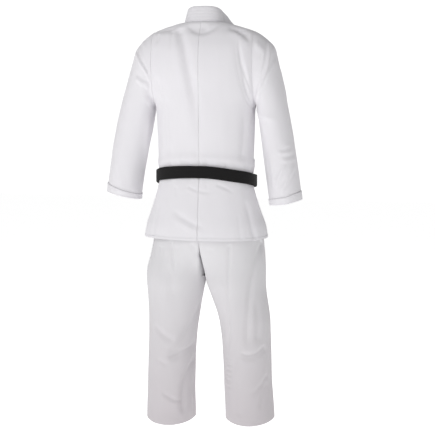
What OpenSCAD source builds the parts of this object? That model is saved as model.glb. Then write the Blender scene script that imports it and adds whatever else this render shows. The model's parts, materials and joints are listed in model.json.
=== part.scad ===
// Martial arts uniform: wrap jacket, trousers and knotted belt, standing as if worn.
// X runs across the wearer with the left hand at +X, the chest faces -Y and Z is up.
// The origin is the middle of the neck opening, level with the nape.

/* [Jacket] */
// Nape to jacket hem, down the back
jacket_len = 712; // [700:2:730]
// Width of the neck opening
neck_w = 140; // [132:1:148]
// Depth of the neck opening, back to front
neck_d = 124; // [116:1:130]
// Width across the tips of the shoulders
shoulder_w = 456; // [446:1:470]
// Nape to underarm
armhole_drop = 272; // [264:1:280]
// Width of the jacket at the chest, below the arms
chest_w = 326; // [318:1:332]
// Depth of the jacket at the chest
chest_d = 224; // [216:1:232]
// Width of the jacket hem
hem_w = 418; // [404:1:432]
// Depth of the jacket hem
hem_d = 264; // [254:1:276]

/* [Sleeves] */
// Distance from the middle of the uniform to the outer corner of a cuff
cuff_reach = 338; // [330:1:348]
// Nape down to the outer corner of a cuff
cuff_drop = 562; // [550:1:575]
// Width of a cuff
cuff_w = 118; // [112:1:122]

/* [Collar] */
// Height of the standing collar behind the neck
collar_h = 46; // [38:1:50]
// Width of the lapel band
lapel_w = 42; // [36:1:45]
// Depth of the crossing of the lapels below the nape
crossing_drop = 225; // [217:1:245]

/* [Belt] */
// Nape to the middle of the belt, at the side seams
belt_drop = 512; // [506:1:513]
// Width of the belt
belt_w = 40; // [36:1:42]
// Thickness of one layer of the belt
belt_t = 4; // [3:0.5:4]
// Rise of the belt line from front to back, per millimetre of depth
belt_rise = 0.24; // [0.15:0.01:0.26]
// Length of each hanging belt end
tail_len = 185; // [150:1:190]

/* [Trousers] */
// Nape to trouser hem
trouser_drop = 1350; // [1320:5:1390]
// Nape to crotch
crotch_drop = 865; // [860:1:880]
// Nape to the top of the elastic waistband
waist_drop = 445; // [435:1:455]
// Width of the hips
hip_w = 384; // [376:1:388]
// Width of one trouser hem
leg_hem_w = 167; // [158:1:176]
// Gap between the legs at the hems
leg_gap = 100; // [90:1:112]

/* [Cloth] */
// Thickness of the cloth
cloth = 2.6; // [2:0.1:3]

/* [Hidden] */

jacket_white = "#e4e3e8";
trouser_white = "#d9d8dd";
belt_black = "#151314";
seam = 0.7;                     // gap left between two pieces of cloth
middle_gap = 0.4;               // degrees from the middle seam to the edge of a piece
side_gap = 0.5;                 // degrees from the side seam to the edge of a piece
lining_gap = 1.8;               // gap between a panel and a piece of cloth that lies against it
squareness = 2.3;               // 2 is an ellipse, more is squarer
seat_squareness = 2.45;         // of the trouser seat
lapel_t = 2 * cloth;            // the lapel band is two layers thick
arm_x = chest_w / 2 + 5;        // plane of the armhole seams
wrap_lift = lapel_t + 2;        // how far the left front stands off the right one
hip_drop = crotch_drop - 85;    // height of the hip axis
seat_end = hip_drop - 53;       // lower edge of the trouser seat, hidden by the jacket
wrap_pitch = belt_t + 0.6;      // from one layer of the belt to the next
back_steps = [8, 19];           // grid steps across and down each piece
front_steps = [8, 18];
skirt_steps = [8, 7];
lapel_steps = [2, 22];
tube_steps = 24;

// Jacket sections from neck to hem: [drop, half width, half depth, middle y, rise per depth]
half_chest = chest_w / 2;
chest_half_d = chest_d / 2;
body_rows = [
    [10, neck_w / 2, neck_d / 2, 2, 0.16],
    [14, neck_w * 0.80, neck_d * 0.58, 3, 0.12],
    [24, arm_x + 2, neck_d * 0.67, 4, 0.06],
    [44, arm_x + 26, chest_half_d * 0.84, 4, 0],
    [92, arm_x + 40, chest_half_d * 0.94, 4, 0],
    [155, arm_x + 38, chest_half_d, 3, 0],
    [222, arm_x + 20, chest_half_d, 2, 0],
    [armhole_drop, arm_x - 1, chest_half_d, 1, 0],
    [340, half_chest, chest_half_d * 0.98, 0, 0.04],
    [420, half_chest - 3, chest_half_d * 0.95, 0, 0.12],
    [belt_drop - belt_w / 2, half_chest - 5, chest_half_d * 0.93, 0, belt_rise],
    [belt_drop + belt_w / 2, half_chest - 4, chest_half_d * 0.94, 0, belt_rise],
    [575, half_chest + 6, chest_half_d, 0, belt_rise * 0.6],
    [630, half_chest + 24, chest_half_d * 1.08, 0, belt_rise * 0.25],
    [jacket_len - 40, hem_w / 2 - 7, hem_d / 2 - 4, 0, 0.03],
    [jacket_len, hem_w / 2, hem_d / 2, 0, 0]];
neck_row = 0.12;                // the back starts at the collar seam
front_row = 1;                  // the fronts start at the shoulder
lapel_row = 0.5;
armhole_row = 7;
belt_row = 10.5;
split_row = 11.05;              // the skirt hangs from just below the belt
split_gap = 0.03;               // gap above the skirt, in rows
panel_end = split_row - split_gap;
hem_row = len(body_rows) - 1;

// Sleeve rings: [outer x, outer drop, inner x, inner drop, half depth, squareness]
tip = shoulder_w / 2;
inner_x = cuff_reach - cuff_w;
inner_drop = cuff_drop + cuff_w * 0.24;
sleeve_rows = [
    [arm_x + 3, 27, arm_x + 3, armhole_drop - 6, 78, 2.5],
    [tip - 24, 43, arm_x + 6, armhole_drop + 4, 78, 2.4],
    [tip + 3, 75, arm_x + 9, armhole_drop + 18, 76, 2.3],
    [tip + 14, 118, arm_x + 13, armhole_drop + 36, 73, 2.2],
    [lerp(tip, cuff_reach, 0.32), lerp(40, cuff_drop, 0.30), arm_x + 18, armhole_drop + 76, 69, 2.1],
    [lerp(tip, cuff_reach, 0.52), lerp(40, cuff_drop, 0.46), lerp(arm_x, inner_x, 0.50),
        armhole_drop + 130, 65, 2],
    [lerp(tip, cuff_reach, 0.70), lerp(40, cuff_drop, 0.62), lerp(arm_x, inner_x, 0.68),
        lerp(armhole_drop, inner_drop, 0.60), 62, 2],
    [lerp(tip, cuff_reach, 0.86), lerp(40, cuff_drop, 0.80), lerp(arm_x, inner_x, 0.85),
        lerp(armhole_drop, inner_drop, 0.80), 61, 2],
    [cuff_reach, cuff_drop, inner_x, inner_drop, 60, 2]];
cuff_row = len(sleeve_rows) - 1;

// Trouser seat sections, inner face: [drop, half width, half depth]
seat_rows = [
    [waist_drop, half_chest - 33, 84],
    [500, half_chest - 31, 86],
    [590, hip_w / 2 - 47, 95],
    [665, hip_w / 2 - 20, 109],
    [seat_end, hip_w / 2 + 4, 120]];

// Leg sections, outer face: [drop, middle x, half width, half depth]
leg_r = 104;                    // reach of the leg about the hip axis
leg_half = leg_hem_w / 2;
hem_x = (leg_gap + leg_hem_w) / 2;
leg_rows = [
    [seat_end - 5, hip_w / 4 - 2, hip_w / 4 - 12, 82],
    [hip_drop - 30, hip_w / 4 + 3, hip_w / 4 - 3, leg_r - 8],
    [hip_drop, hip_w / 4 + 5, hip_w / 4, leg_r],
    [crotch_drop, hip_w / 4 + 7, hip_w / 4 + 3, leg_r - 1],
    [crotch_drop + 40, hip_w / 4 + 12, leg_half + 11, leg_r - 5],
    [crotch_drop + 120, hem_x - 17, leg_half + 3, 92],
    [crotch_drop + 205, hem_x - 10, leg_half - 2, 86],
    [lerp(crotch_drop, trouser_drop, 0.6), hem_x - 6, leg_half - 3, 84],
    [lerp(crotch_drop, trouser_drop, 0.8), hem_x - 3, leg_half - 2, 83],
    [trouser_drop, hem_x, leg_half, 82]];
leg_end = len(leg_rows) - 1;
crotch_row = 3.1;               // the inner side of a leg starts just below the crotch

function lerp(a, b, t) = a + (b - a) * t;
function clamp01(t) = min(max(t, 0), 1);
function ease(t) = let (c = clamp01(t)) c * c * (3 - 2 * c);
function power(base, exponent) = sign(base) * pow(abs(base), exponent);

// Smooth curve through the rows of a table, at row number s
function along(rows, s) =
    let (
        last = len(rows) - 1,
        i = min(max(floor(s), 0), last - 1),
        t = s - i,
        before = rows[max(i - 1, 0)],
        here = rows[i],
        next = rows[i + 1],
        after = rows[min(i + 2, last)])
    0.5 * (2 * here + (next - before) * t + (2 * before - 5 * here + 4 * next - after) * t * t
        + (3 * here - before - 3 * next + after) * t * t * t);

// Point of a surface moved out along its normal by d
function offset_point(shape, a, b, d, da, db) =
    let (
        side = shape(a + da, b) - shape(a - da, b),
        down = shape(a, b + db) - shape(a, b - db),
        normal = cross(down, side))
    shape(a, b) + d * normal / norm(normal);

body_surface = function(angle, s)
    let (r = along(body_rows, s), y = r[3] + r[2] * power(sin(angle), 2 / squareness))
    [r[1] * power(cos(angle), 2 / squareness), y, r[4] * y - r[0]];

sleeve_surface = function(angle, s)
    let (
        r = along(sleeve_rows, s),
        middle = [(r[0] + r[2]) / 2, 0, -(r[1] + r[3]) / 2],
        reach = [(r[0] - r[2]) / 2, 0, (r[3] - r[1]) / 2])
    middle + reach * power(cos(angle), 2 / r[5]) + [0, r[4] * power(sin(angle), 2 / r[5]), 0];

seat_surface = function(angle, s)
    let (r = along(seat_rows, s))
    [r[1] * power(cos(angle), 2 / seat_squareness), r[2] * power(sin(angle), 2 / seat_squareness), -r[0]];

// The leg is squarer at the hip and round at the hem
leg_surface = function(angle, s)
    let (r = along(leg_rows, s), n = lerp(2.7, 2.05, ease(s / leg_end * 1.7)))
    [r[1] + r[2] * power(cos(angle), 2 / n), r[3] * power(sin(angle), 2 / n), -r[0]];

function body(angle, s, d) = offset_point(body_surface, angle, s, d, 0.5, 0.01);
function sleeve(angle, s, d) = offset_point(sleeve_surface, angle, s, d, 0.5, 0.01);
function seat(angle, s, d) = offset_point(seat_surface, angle, s, d, 0.5, 0.01);
function leg(angle, s, d) = offset_point(leg_surface, angle, s, d, 0.5, 0.01);

// Angle on a jacket section at which the section is x wide
function angle_at(x, s) =
    let (half = along(body_rows, s)[1], part = min(max(x / half, -1), 1))
    acos(power(part, squareness / 2));

// Edge of the armhole above the underarm, and the side seam below it
function side_angle(s) = s < armhole_row ? angle_at(arm_x, s) : 0;

edge_start = 10;                // drop of the top of the front edge
edge_reach = 95;                // how far past the middle the front edge ends up
edge_bend = 190;                // drop over which it bends down to the skirt

// The left front edge runs from the neck, over the middle, to the right hip
function edge_x(s) =
    let (drop = along(body_rows, s)[0], neck_x = neck_w / 2 - 3)
    drop < crossing_drop
        ? neck_x * (1 - (drop - edge_start) / (crossing_drop - edge_start))
        : -edge_reach * (1 - exp((crossing_drop - drop) / edge_bend));

overlap_x = 130;                // the left front starts to lift here, towards the right
overlap_run = 35;               // distance over which it lifts
overlap_row = 5;                // and the row from which it lifts
overlap_rows = 1.5;

// The left front lifts over the right one where they overlap
function overlap_lift(x, s) =
    wrap_lift * ease((overlap_x - x) / overlap_run) * ease((s - overlap_row) / overlap_rows);

// Closed sheet between the offsets d[0] and d[1] of a surface. u and v are [start, end, steps].
module sheet(shape, u, v, d, ring = false) {
    columns = ring ? u[2] : u[2] + 1;
    rows = v[2] + 1;
    layer = columns * rows;
    points = [for (k = [0, 1], j = [0 : rows - 1], i = [0 : columns - 1])
        shape(lerp(u[0], u[1], i / u[2]), lerp(v[0], v[1], j / v[2]), d[k])];
    function at(i, j, k) = k * layer + j * columns + (i % columns);
    function patch(p, q, r, s) = [[p, q, r], [p, r, s]];
    skins = [for (j = [0 : rows - 2], i = [0 : u[2] - 1]) each concat(
        patch(at(i, j, 1), at(i + 1, j, 1), at(i + 1, j + 1, 1), at(i, j + 1, 1)),
        patch(at(i, j, 0), at(i, j + 1, 0), at(i + 1, j + 1, 0), at(i + 1, j, 0)))];
    rims = [for (i = [0 : u[2] - 1]) each concat(
        patch(at(i, 0, 0), at(i + 1, 0, 0), at(i + 1, 0, 1), at(i, 0, 1)),
        patch(at(i, rows - 1, 1), at(i + 1, rows - 1, 1), at(i + 1, rows - 1, 0), at(i, rows - 1, 0)))];
    ends = ring ? [] : [for (j = [0 : rows - 2]) each concat(
        patch(at(0, j, 1), at(0, j + 1, 1), at(0, j + 1, 0), at(0, j, 0)),
        patch(at(u[2], j, 0), at(u[2], j + 1, 0), at(u[2], j + 1, 1), at(u[2], j, 1)))];
    polyhedron(points = points, faces = concat(skins, rims, ends), convexity = 10);
}

// Half of the jacket back, from the middle seam to the side, between rows of the jacket
module back_half(rows, steps) {
    sheet(function(u, s, d) body(lerp(90 - middle_gap, side_angle(s) + side_gap, u), s, d),
        [0, 1, steps[0]], [rows[0], rows[1], steps[1]], [0, cloth]);
}

// Front of the jacket from the side seam to the lapel, on the wearer's left
module front_half(rows, steps, lift) {
    sheet(function(u, s, d)
        let (
            far = -angle_at(edge_x(s) + lapel_w + seam, s),
            angle = lerp(-side_angle(s) - side_gap, far, u),
            x = body_surface(angle, s)[0])
        body(angle, s, d + lift * overlap_lift(x, s)),
        [0, 1, steps[0]], [rows[0], rows[1], steps[1]], [0, cloth]);
}

// Lapel band along the front edge, on the wearer's left
module lapel_half(rows, steps, lift) {
    sheet(function(u, s, d)
        let (x = edge_x(s) + lapel_w * (1 - u), angle = -angle_at(x, s))
        body(angle, s, d + lift * overlap_lift(x, s)),
        [0, 1, steps[0]], [rows[0], rows[1], steps[1]], [0, lapel_t]);
}

module mirrored() {
    mirror([1, 0, 0]) children();
}

module both_sides() {
    children();
    mirrored() children();
}

module back_left() {
    color(jacket_white) back_half([neck_row, panel_end], back_steps);
}

module back_right() {
    color(jacket_white) mirrored() back_half([neck_row, panel_end], back_steps);
}

module front_left() {
    color(jacket_white) front_half([front_row, panel_end], front_steps, 1);
}

module front_right() {
    color(jacket_white) mirrored() front_half([front_row, panel_end], front_steps, 0);
}

// Lining across the shoulder blades, inside the back
module shoulder_yoke() {
    yoke_reach = 46;            // degrees each way from the middle of the back
    color(jacket_white)
    sheet(function(u, s, d) body(lerp(90 + yoke_reach, 90 - yoke_reach, u), s, d),
        [0, 1, 10], [0.6, 5, 7], [-cloth - lining_gap, -lining_gap]);
}

// Standing band round the back of the neck, leaning in towards its top
module collar() {
    half_w = neck_w / 2 - 1;
    half_d = neck_d / 2 - 1;
    lean = 12;                  // how far the top leans in
    foot_drop = 3;
    front_reach = 12;           // degrees that each end comes round past the side
    band = function(angle, v)
        let (in = lean * v, y = body_rows[0][3] + (half_d - in) * sin(angle))
        [(half_w - in) * cos(angle), y, body_rows[0][4] * y - foot_drop + collar_h * v];
    color(jacket_white)
    sheet(function(u, v, d) offset_point(band, lerp(180 + front_reach, -front_reach, u), v, d, 0.5, 0.01),
        [0, 1, 22], [0, 1, 3], [0, lapel_t]);
}

module lapel_left() {
    color(jacket_white) lapel_half([lapel_row, panel_end], lapel_steps, 1);
}

module lapel_right() {
    color(jacket_white) mirrored() lapel_half([lapel_row, panel_end], lapel_steps, 0);
}

// Diamonds of cloth inside the tops of the side seams
module underarm_gussets() {
    reach = 26;                 // degrees each way from the side seam, at the top
    taper = 0.8;
    rows = [armhole_row + 0.1, armhole_row + 0.9];
    color(jacket_white) both_sides()
    sheet(function(u, v, d) body(lerp(reach, -reach, u) * (1 - taper * v), lerp(rows[0], rows[1], v), d),
        [0, 1, 6], [0, 1, 4], [-cloth - lining_gap, -lining_gap]);
}

tie_w = 24;
tie_t = 1.6;
tie_row = 9.3;
tie_rows = tie_w / 60;          // rows of the jacket that a tape's width takes
tie_start = -118;               // angles of the front end, the knot and the side end of the tapes
tie_knot_angle = -142;
tie_finish = -178;
tie_end = 4.5;                  // degrees between the knot and the end of each tape
tie_height = 7;                 // of the tapes over the right front, at the knot

// Outer face of the left front at the tapes
tie_base = cloth + wrap_lift + lapel_t + seam;

// Tape from the edge of the left front to the knot at the right hip
module outer_tie_front() {
    color(jacket_white)
    sheet(function(u, s, d)
        body(lerp(tie_start, tie_knot_angle + tie_end, u), s, d + lerp(tie_base - cloth, tie_height, u)),
        [0, 1, 6], [tie_row, tie_row + tie_rows, 2], [0, tie_t]);
}

// Tape from the right side seam to the knot
module outer_tie_side() {
    color(jacket_white)
    sheet(function(u, s, d)
        body(lerp(tie_knot_angle - tie_end, tie_finish, u), s, d + lerp(tie_height, cloth + seam, u)),
        [0, 1, 6], [tie_row, tie_row + tie_rows, 2], [0, tie_t]);
}

// Flat knot of the two tapes
module outer_tie_knot() {
    r = 9;
    turn = -41;                 // turns the flat knot to face out from the hip
    flatness = [1, 0.42, 0.9];
    middle = body(tie_knot_angle, tie_row + tie_rows / 2, r);
    color(jacket_white) translate(middle) rotate([0, 0, turn]) scale(flatness) sphere(r = r, $fn = 24);
}

// Tape that holds the right front inside the left one
module inner_tie() {
    start = -2;                 // angles of its ends, at the left side
    finish = -48;
    color(jacket_white)
    sheet(function(u, s, d) body(lerp(start, finish, u), s, d),
        [0, 1, 8], [tie_row, tie_row + tie_rows, 2], [-lining_gap - tie_t, -lining_gap]);
}

// How far the belt stands off the jacket, more over the crossed fronts
function belt_lift(angle) =
    let (front_share = 0.12 - sin(angle) * 1.15)
    cloth + lining_gap + (wrap_lift + lapel_t) * ease(front_share);

// One turn of the belt, by its layer: 0 is against the jacket
module belt_wrap(layer) {
    lift = layer * wrap_pitch;
    sheet(function(u, v, d)
        let (
            angle = lerp(360, 0, u),
            p = offset_point(body_surface, angle, belt_row, d + lift + belt_lift(angle), 0.5, 0.01))
        p + [0, 0, lerp(belt_w / 2, -belt_w / 2, v)],
        [0, 1, 44], [0, 1, 1], [0, belt_t], ring = true);
}

module belt_inner_wrap() {
    color(belt_black) belt_wrap(0);
}

module belt_outer_wrap() {
    color(belt_black) belt_wrap(1);
}

// Front of the outer wrap, where the knot sits
belt_front = offset_point(body_surface, -90, belt_row, belt_lift(-90) + 2 * wrap_pitch, 0.5, 0.01);
knot_w = 58;
knot_d = 24;
knot_h = 44;
knot_gap = 0.6;                 // between the knot and the belt

// Flat square knot with rounded shoulders
module belt_knot() {
    r = 8;
    color(belt_black) translate(belt_front + [0, -knot_d / 2 - knot_gap, 0])
    hull() for (x = [-1, 1], y = [-1, 1], z = [-1, 1])
        translate([x * (knot_w / 2 - r), y * (knot_d / 2 - r), z * (knot_h / 2 - r)]) sphere(r = r, $fn = 20);
}

tail_top = belt_front + [0, -knot_d / 2 - 2, -knot_h / 2 - 6];
tail_x = 18;                    // from the middle to the top of each end
tail_lean = 8;                  // degrees that the ends stand out over the skirt
tail_splay = 20;                // degrees between an end and the middle of the uniform
tail_gap = 10;                  // from the pivot of an end to its top edge

// Hanging end of the belt
module tail_half() {
    translate(tail_top + [tail_x, 0, -1]) rotate([-tail_lean, -tail_splay, 0])
    translate([-belt_w / 2, -belt_t / 2, -tail_len]) cube([belt_w, belt_t, tail_len - tail_gap]);
}

module belt_tail_left() {
    color(belt_black) tail_half();
}

module belt_tail_right() {
    color(belt_black) mirrored() tail_half();
}

// Sleeve from the armhole to the cuff, on the wearer's left
module sleeve_half() {
    sheet(function(u, s, d) sleeve(lerp(360, 0, u), s, d),
        [0, 1, tube_steps], [0, cuff_row, 16], [-cloth, 0], ring = true);
}

module sleeve_left() {
    color(jacket_white) sleeve_half();
}

module sleeve_right() {
    color(jacket_white) mirrored() sleeve_half();
}

// Turned-in band inside the cuff
module cuff_facing() {
    facing_rows = 0.4;
    sheet(function(u, s, d) sleeve(lerp(360, 0, u), s, d),
        [0, 1, tube_steps], [cuff_row - facing_rows, cuff_row - 0.01, 1],
        [-2 * cloth - seam, -cloth - seam], ring = true);
}

module cuff_facing_left() {
    color(jacket_white) cuff_facing();
}

module cuff_facing_right() {
    color(jacket_white) mirrored() cuff_facing();
}

module back_skirt_left() {
    color(jacket_white) back_half([split_row, hem_row], skirt_steps);
}

module back_skirt_right() {
    color(jacket_white) mirrored() back_half([split_row, hem_row], skirt_steps);
}

module front_skirt_left() {
    color(jacket_white) front_half([split_row, hem_row], skirt_steps, 1);
}

module front_skirt_right() {
    color(jacket_white) mirrored() front_half([split_row, hem_row], skirt_steps, 0);
}

module lapel_end_left() {
    color(jacket_white) lapel_half([split_row, hem_row], [2, 7], 1);
}

module lapel_end_right() {
    color(jacket_white) mirrored() lapel_half([split_row, hem_row], [2, 7], 0);
}

// Stitched patches inside the tops of the side vents
module vent_patches() {
    reach = 14;                 // degrees behind the side seam
    rows = [split_row + 0.25, split_row + 0.85];
    color(jacket_white) both_sides()
    sheet(function(u, s, d) body(lerp(reach, 1, u), s, d),
        [0, 1, 3], [rows[0], rows[1], 2], [-cloth - lining_gap, -lining_gap]);
}

// Elastic band inside the top of the trousers
module waistband() {
    rows = [0.02, 0.62];
    color(trouser_white)
    sheet(function(u, s, d) seat(lerp(360, 0, u), s, d),
        [0, 1, 32], [rows[0], rows[1], 1], [-cloth - seam - 1, -seam], ring = true);
}

// Half of the trouser seat, from the middle of the back to the middle of the front
module seat_half() {
    sheet(function(u, s, d) seat(lerp(90 - middle_gap, middle_gap - 90, u), s, d),
        [0, 1, 16], [0, len(seat_rows) - 1, 8], [0, cloth]);
}

module seat_left() {
    color(trouser_white) seat_half();
}

module seat_right() {
    color(trouser_white) mirrored() seat_half();
}

// Diamond of cloth hanging between the tops of the legs
module crotch_gusset() {
    gusset_w = 5;
    gusset_d = 92;
    lift = 16;                  // above the crotch
    color(trouser_white)
    translate([-gusset_w / 2, -gusset_d / 2, lift - crotch_drop])
    cube([gusset_w, gusset_d, cloth]);
}

// Trouser leg whose inner side starts at the crotch and whose outer side starts inside the seat
module leg_half_shell() {
    sheet(function(u, v, d)
        let (
            angle = lerp(360, 0, u),
            inner_share = (-cos(angle) - 0.8) / 0.18,
            start = lerp(0, crotch_row, ease(inner_share)))
        leg(angle, lerp(start, leg_end, v), d),
        [0, 1, tube_steps], [0, 1, 15], [-cloth, 0], ring = true);
}

module leg_left() {
    color(trouser_white) leg_half_shell();
}

module leg_right() {
    color(trouser_white) mirrored() leg_half_shell();
}

// Turned-in band inside the trouser hem
module leg_facing() {
    facing_rows = 0.3;
    sheet(function(u, s, d) leg(lerp(360, 0, u), s, d),
        [0, 1, tube_steps], [leg_end - facing_rows, leg_end - 0.01, 1],
        [-2 * cloth - seam, -cloth - seam], ring = true);
}

module leg_facing_left() {
    color(trouser_white) leg_facing();
}

module leg_facing_right() {
    color(trouser_white) mirrored() leg_facing();
}

back_left();
back_right();
front_left();
front_right();
shoulder_yoke();
collar();
lapel_left();
lapel_right();
underarm_gussets();
outer_tie_front();
outer_tie_side();
outer_tie_knot();
inner_tie();
belt_inner_wrap();
belt_outer_wrap();
belt_knot();
belt_tail_left();
belt_tail_right();
sleeve_left();
sleeve_right();
cuff_facing_left();
cuff_facing_right();
back_skirt_left();
back_skirt_right();
front_skirt_left();
front_skirt_right();
lapel_end_left();
lapel_end_right();
vent_patches();
waistband();
seat_left();
seat_right();
crotch_gusset();
leg_left();
leg_right();
leg_facing_left();
leg_facing_right();
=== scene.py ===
"""Looks of the martial arts uniform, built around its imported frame. Metres, +Z up, the chest faces -Y."""
import bpy
import json
import math
import numpy as np
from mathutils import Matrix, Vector, noise

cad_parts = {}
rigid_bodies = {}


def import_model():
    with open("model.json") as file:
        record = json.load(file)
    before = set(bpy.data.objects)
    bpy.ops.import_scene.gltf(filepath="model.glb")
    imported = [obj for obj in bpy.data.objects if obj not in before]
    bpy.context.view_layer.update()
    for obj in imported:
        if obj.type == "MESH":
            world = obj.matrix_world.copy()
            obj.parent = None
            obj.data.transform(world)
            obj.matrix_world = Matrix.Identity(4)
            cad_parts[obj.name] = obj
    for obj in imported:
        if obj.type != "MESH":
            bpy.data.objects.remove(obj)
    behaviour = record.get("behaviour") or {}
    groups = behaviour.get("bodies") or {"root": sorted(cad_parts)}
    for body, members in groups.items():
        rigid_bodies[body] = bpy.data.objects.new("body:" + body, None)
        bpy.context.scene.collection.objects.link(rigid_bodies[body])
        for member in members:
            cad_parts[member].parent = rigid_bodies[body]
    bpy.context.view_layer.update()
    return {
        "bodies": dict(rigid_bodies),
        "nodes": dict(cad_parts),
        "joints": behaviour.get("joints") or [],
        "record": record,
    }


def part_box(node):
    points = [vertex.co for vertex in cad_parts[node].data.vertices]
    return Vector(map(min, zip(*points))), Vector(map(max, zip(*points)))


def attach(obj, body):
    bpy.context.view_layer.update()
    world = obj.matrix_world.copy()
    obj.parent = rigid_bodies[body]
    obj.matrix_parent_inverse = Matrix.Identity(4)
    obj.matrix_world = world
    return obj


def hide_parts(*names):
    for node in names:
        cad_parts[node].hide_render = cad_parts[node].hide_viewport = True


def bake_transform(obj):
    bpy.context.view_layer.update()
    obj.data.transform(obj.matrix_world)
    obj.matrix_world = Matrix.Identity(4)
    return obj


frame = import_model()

SIDES = (("left", 1), ("right", -1))            # the wearer's left is towards +X

# ---------------------------------------------------------------- sizes, from the frame

CLOTH = 0.0026                                  # thickness of one layer in the frame
SQUARENESS = 2.3                                # 2 is an ellipse, more is squarer
SEAT_SQUARENESS = 2.45
OUTER_SHARE = 0.8                               # share of a leg's ring that comes from the seat
CORNER = math.radians(150)                      # where the inner wall of a leg meets its back


def low(node):
    """Lowest corner of a frame node's box."""
    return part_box(node)[0]


def high(node):
    """Highest corner of a frame node's box."""
    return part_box(node)[1]


HEM_HALF = high("back_skirt_left")[0] - CLOTH
HEM_DEPTH = high("back_skirt_left")[1] - CLOTH
JACKET_END = -low("back_skirt_left")[2]
CUFF_REACH = high("sleeve_left")[0]
CUFF_DROP = -low("sleeve_left")[2]
TROUSER_END = -low("leg_left")[2]
WAIST_DROP = -high("seat_left")[2]
KNOT_LOW, KNOT_HIGH = low("belt_knot"), high("belt_knot")

BELT_WIDTH = 0.040
BELT_THICK = 0.004
BELT_DROP = 0.512
BELT_RISE = 0.24
CHEST_HALF = 0.163
CHEST_DEPTH = 0.112
ARM_X = CHEST_HALF + 0.005                      # plane of the armhole seams
ARMHOLE_DROP = 0.272
NECK_DROP = 0.010                               # top of the jacket cloth, under the collar
NECK_HALF = 0.065
NECK_DEPTH = 0.060
NECK_SLOPE = 0.16                               # rise per depth of the neck opening
CROSSING_DROP = 0.225                           # where the lapels cross
LAPEL_WIDTH = 0.042
COLLAR_HEIGHT = 0.046
LAPEL_THICK = 2 * CLOTH
WRAP_LIFT = LAPEL_THICK + 0.002                 # how far the left front stands off the right one
CROTCH_DROP = 0.865
BACK_HINGE = -0.509                             # height of the skirt hinges
FRONT_HINGE = -0.558
SEAT_END = 0.702                                # hidden by the jacket
LEG_GAP = 0.0006                                # from the middle to the inner wall of a leg
HIP_HALF = 0.194

# Jacket sections: drop, half width, half depth, middle y, rise per depth
BODY_ROWS = np.array([
    (NECK_DROP, NECK_HALF, NECK_DEPTH, 0.002, NECK_SLOPE),
    (0.016, NECK_HALF * 1.66, NECK_DEPTH * 1.20, 0.003, 0.12),
    (0.034, ARM_X + 0.002, NECK_DEPTH * 1.38, 0.004, 0.06),
    (0.052, ARM_X + 0.026, CHEST_DEPTH * 0.84, 0.004, 0.0),
    (0.092, ARM_X + 0.040, CHEST_DEPTH * 0.94, 0.004, 0.0),
    (0.155, ARM_X + 0.038, CHEST_DEPTH, 0.003, 0.0),
    (0.222, ARM_X + 0.020, CHEST_DEPTH, 0.002, 0.0),
    (ARMHOLE_DROP, ARM_X - 0.001, CHEST_DEPTH, 0.001, 0.0),
    (0.340, CHEST_HALF, CHEST_DEPTH * 0.98, 0.0, 0.04),
    (0.420, CHEST_HALF - 0.003, CHEST_DEPTH * 0.95, 0.0, 0.12),
    (BELT_DROP - BELT_WIDTH / 2, CHEST_HALF - 0.005, CHEST_DEPTH * 0.93, 0.0, BELT_RISE),
    (BELT_DROP + BELT_WIDTH / 2, CHEST_HALF - 0.004, CHEST_DEPTH * 0.94, 0.0, BELT_RISE),
    (0.575, CHEST_HALF + 0.006, CHEST_DEPTH, 0.0, BELT_RISE * 0.6),
    (0.630, CHEST_HALF + 0.024, CHEST_DEPTH * 1.08, 0.0, BELT_RISE * 0.25),
    (JACKET_END - 0.040, HEM_HALF - 0.007, HEM_DEPTH - 0.004, 0.0, 0.03),
    (JACKET_END, HEM_HALF, HEM_DEPTH, 0.0, 0.0)])
BELT_ROW = 10.5
SPLIT_ROW = 11.05
HEM_ROW = len(BODY_ROWS) - 1
ARMHOLE_ROW = 7


def mix(a, b, t):
    return a + (b - a) * t


def ease(t):
    c = np.clip(t, 0.0, 1.0)
    return c * c * (3 - 2 * c)


def power(base, exponent):
    return np.sign(base) * np.abs(base) ** exponent


def unit(v):
    return v / np.maximum(np.linalg.norm(v, axis=-1, keepdims=True), 1e-12)


def lengths(path):
    """Distance along a path at each of its points."""
    return np.concatenate([[0], np.cumsum(np.linalg.norm(np.diff(path, axis=0), axis=1))])


def at_lengths(where, walked, values):
    """Values given at the points of a path, read at distances along it."""
    return np.stack([np.interp(where, walked, values[:, k]) for k in range(values.shape[1])], -1)


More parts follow.
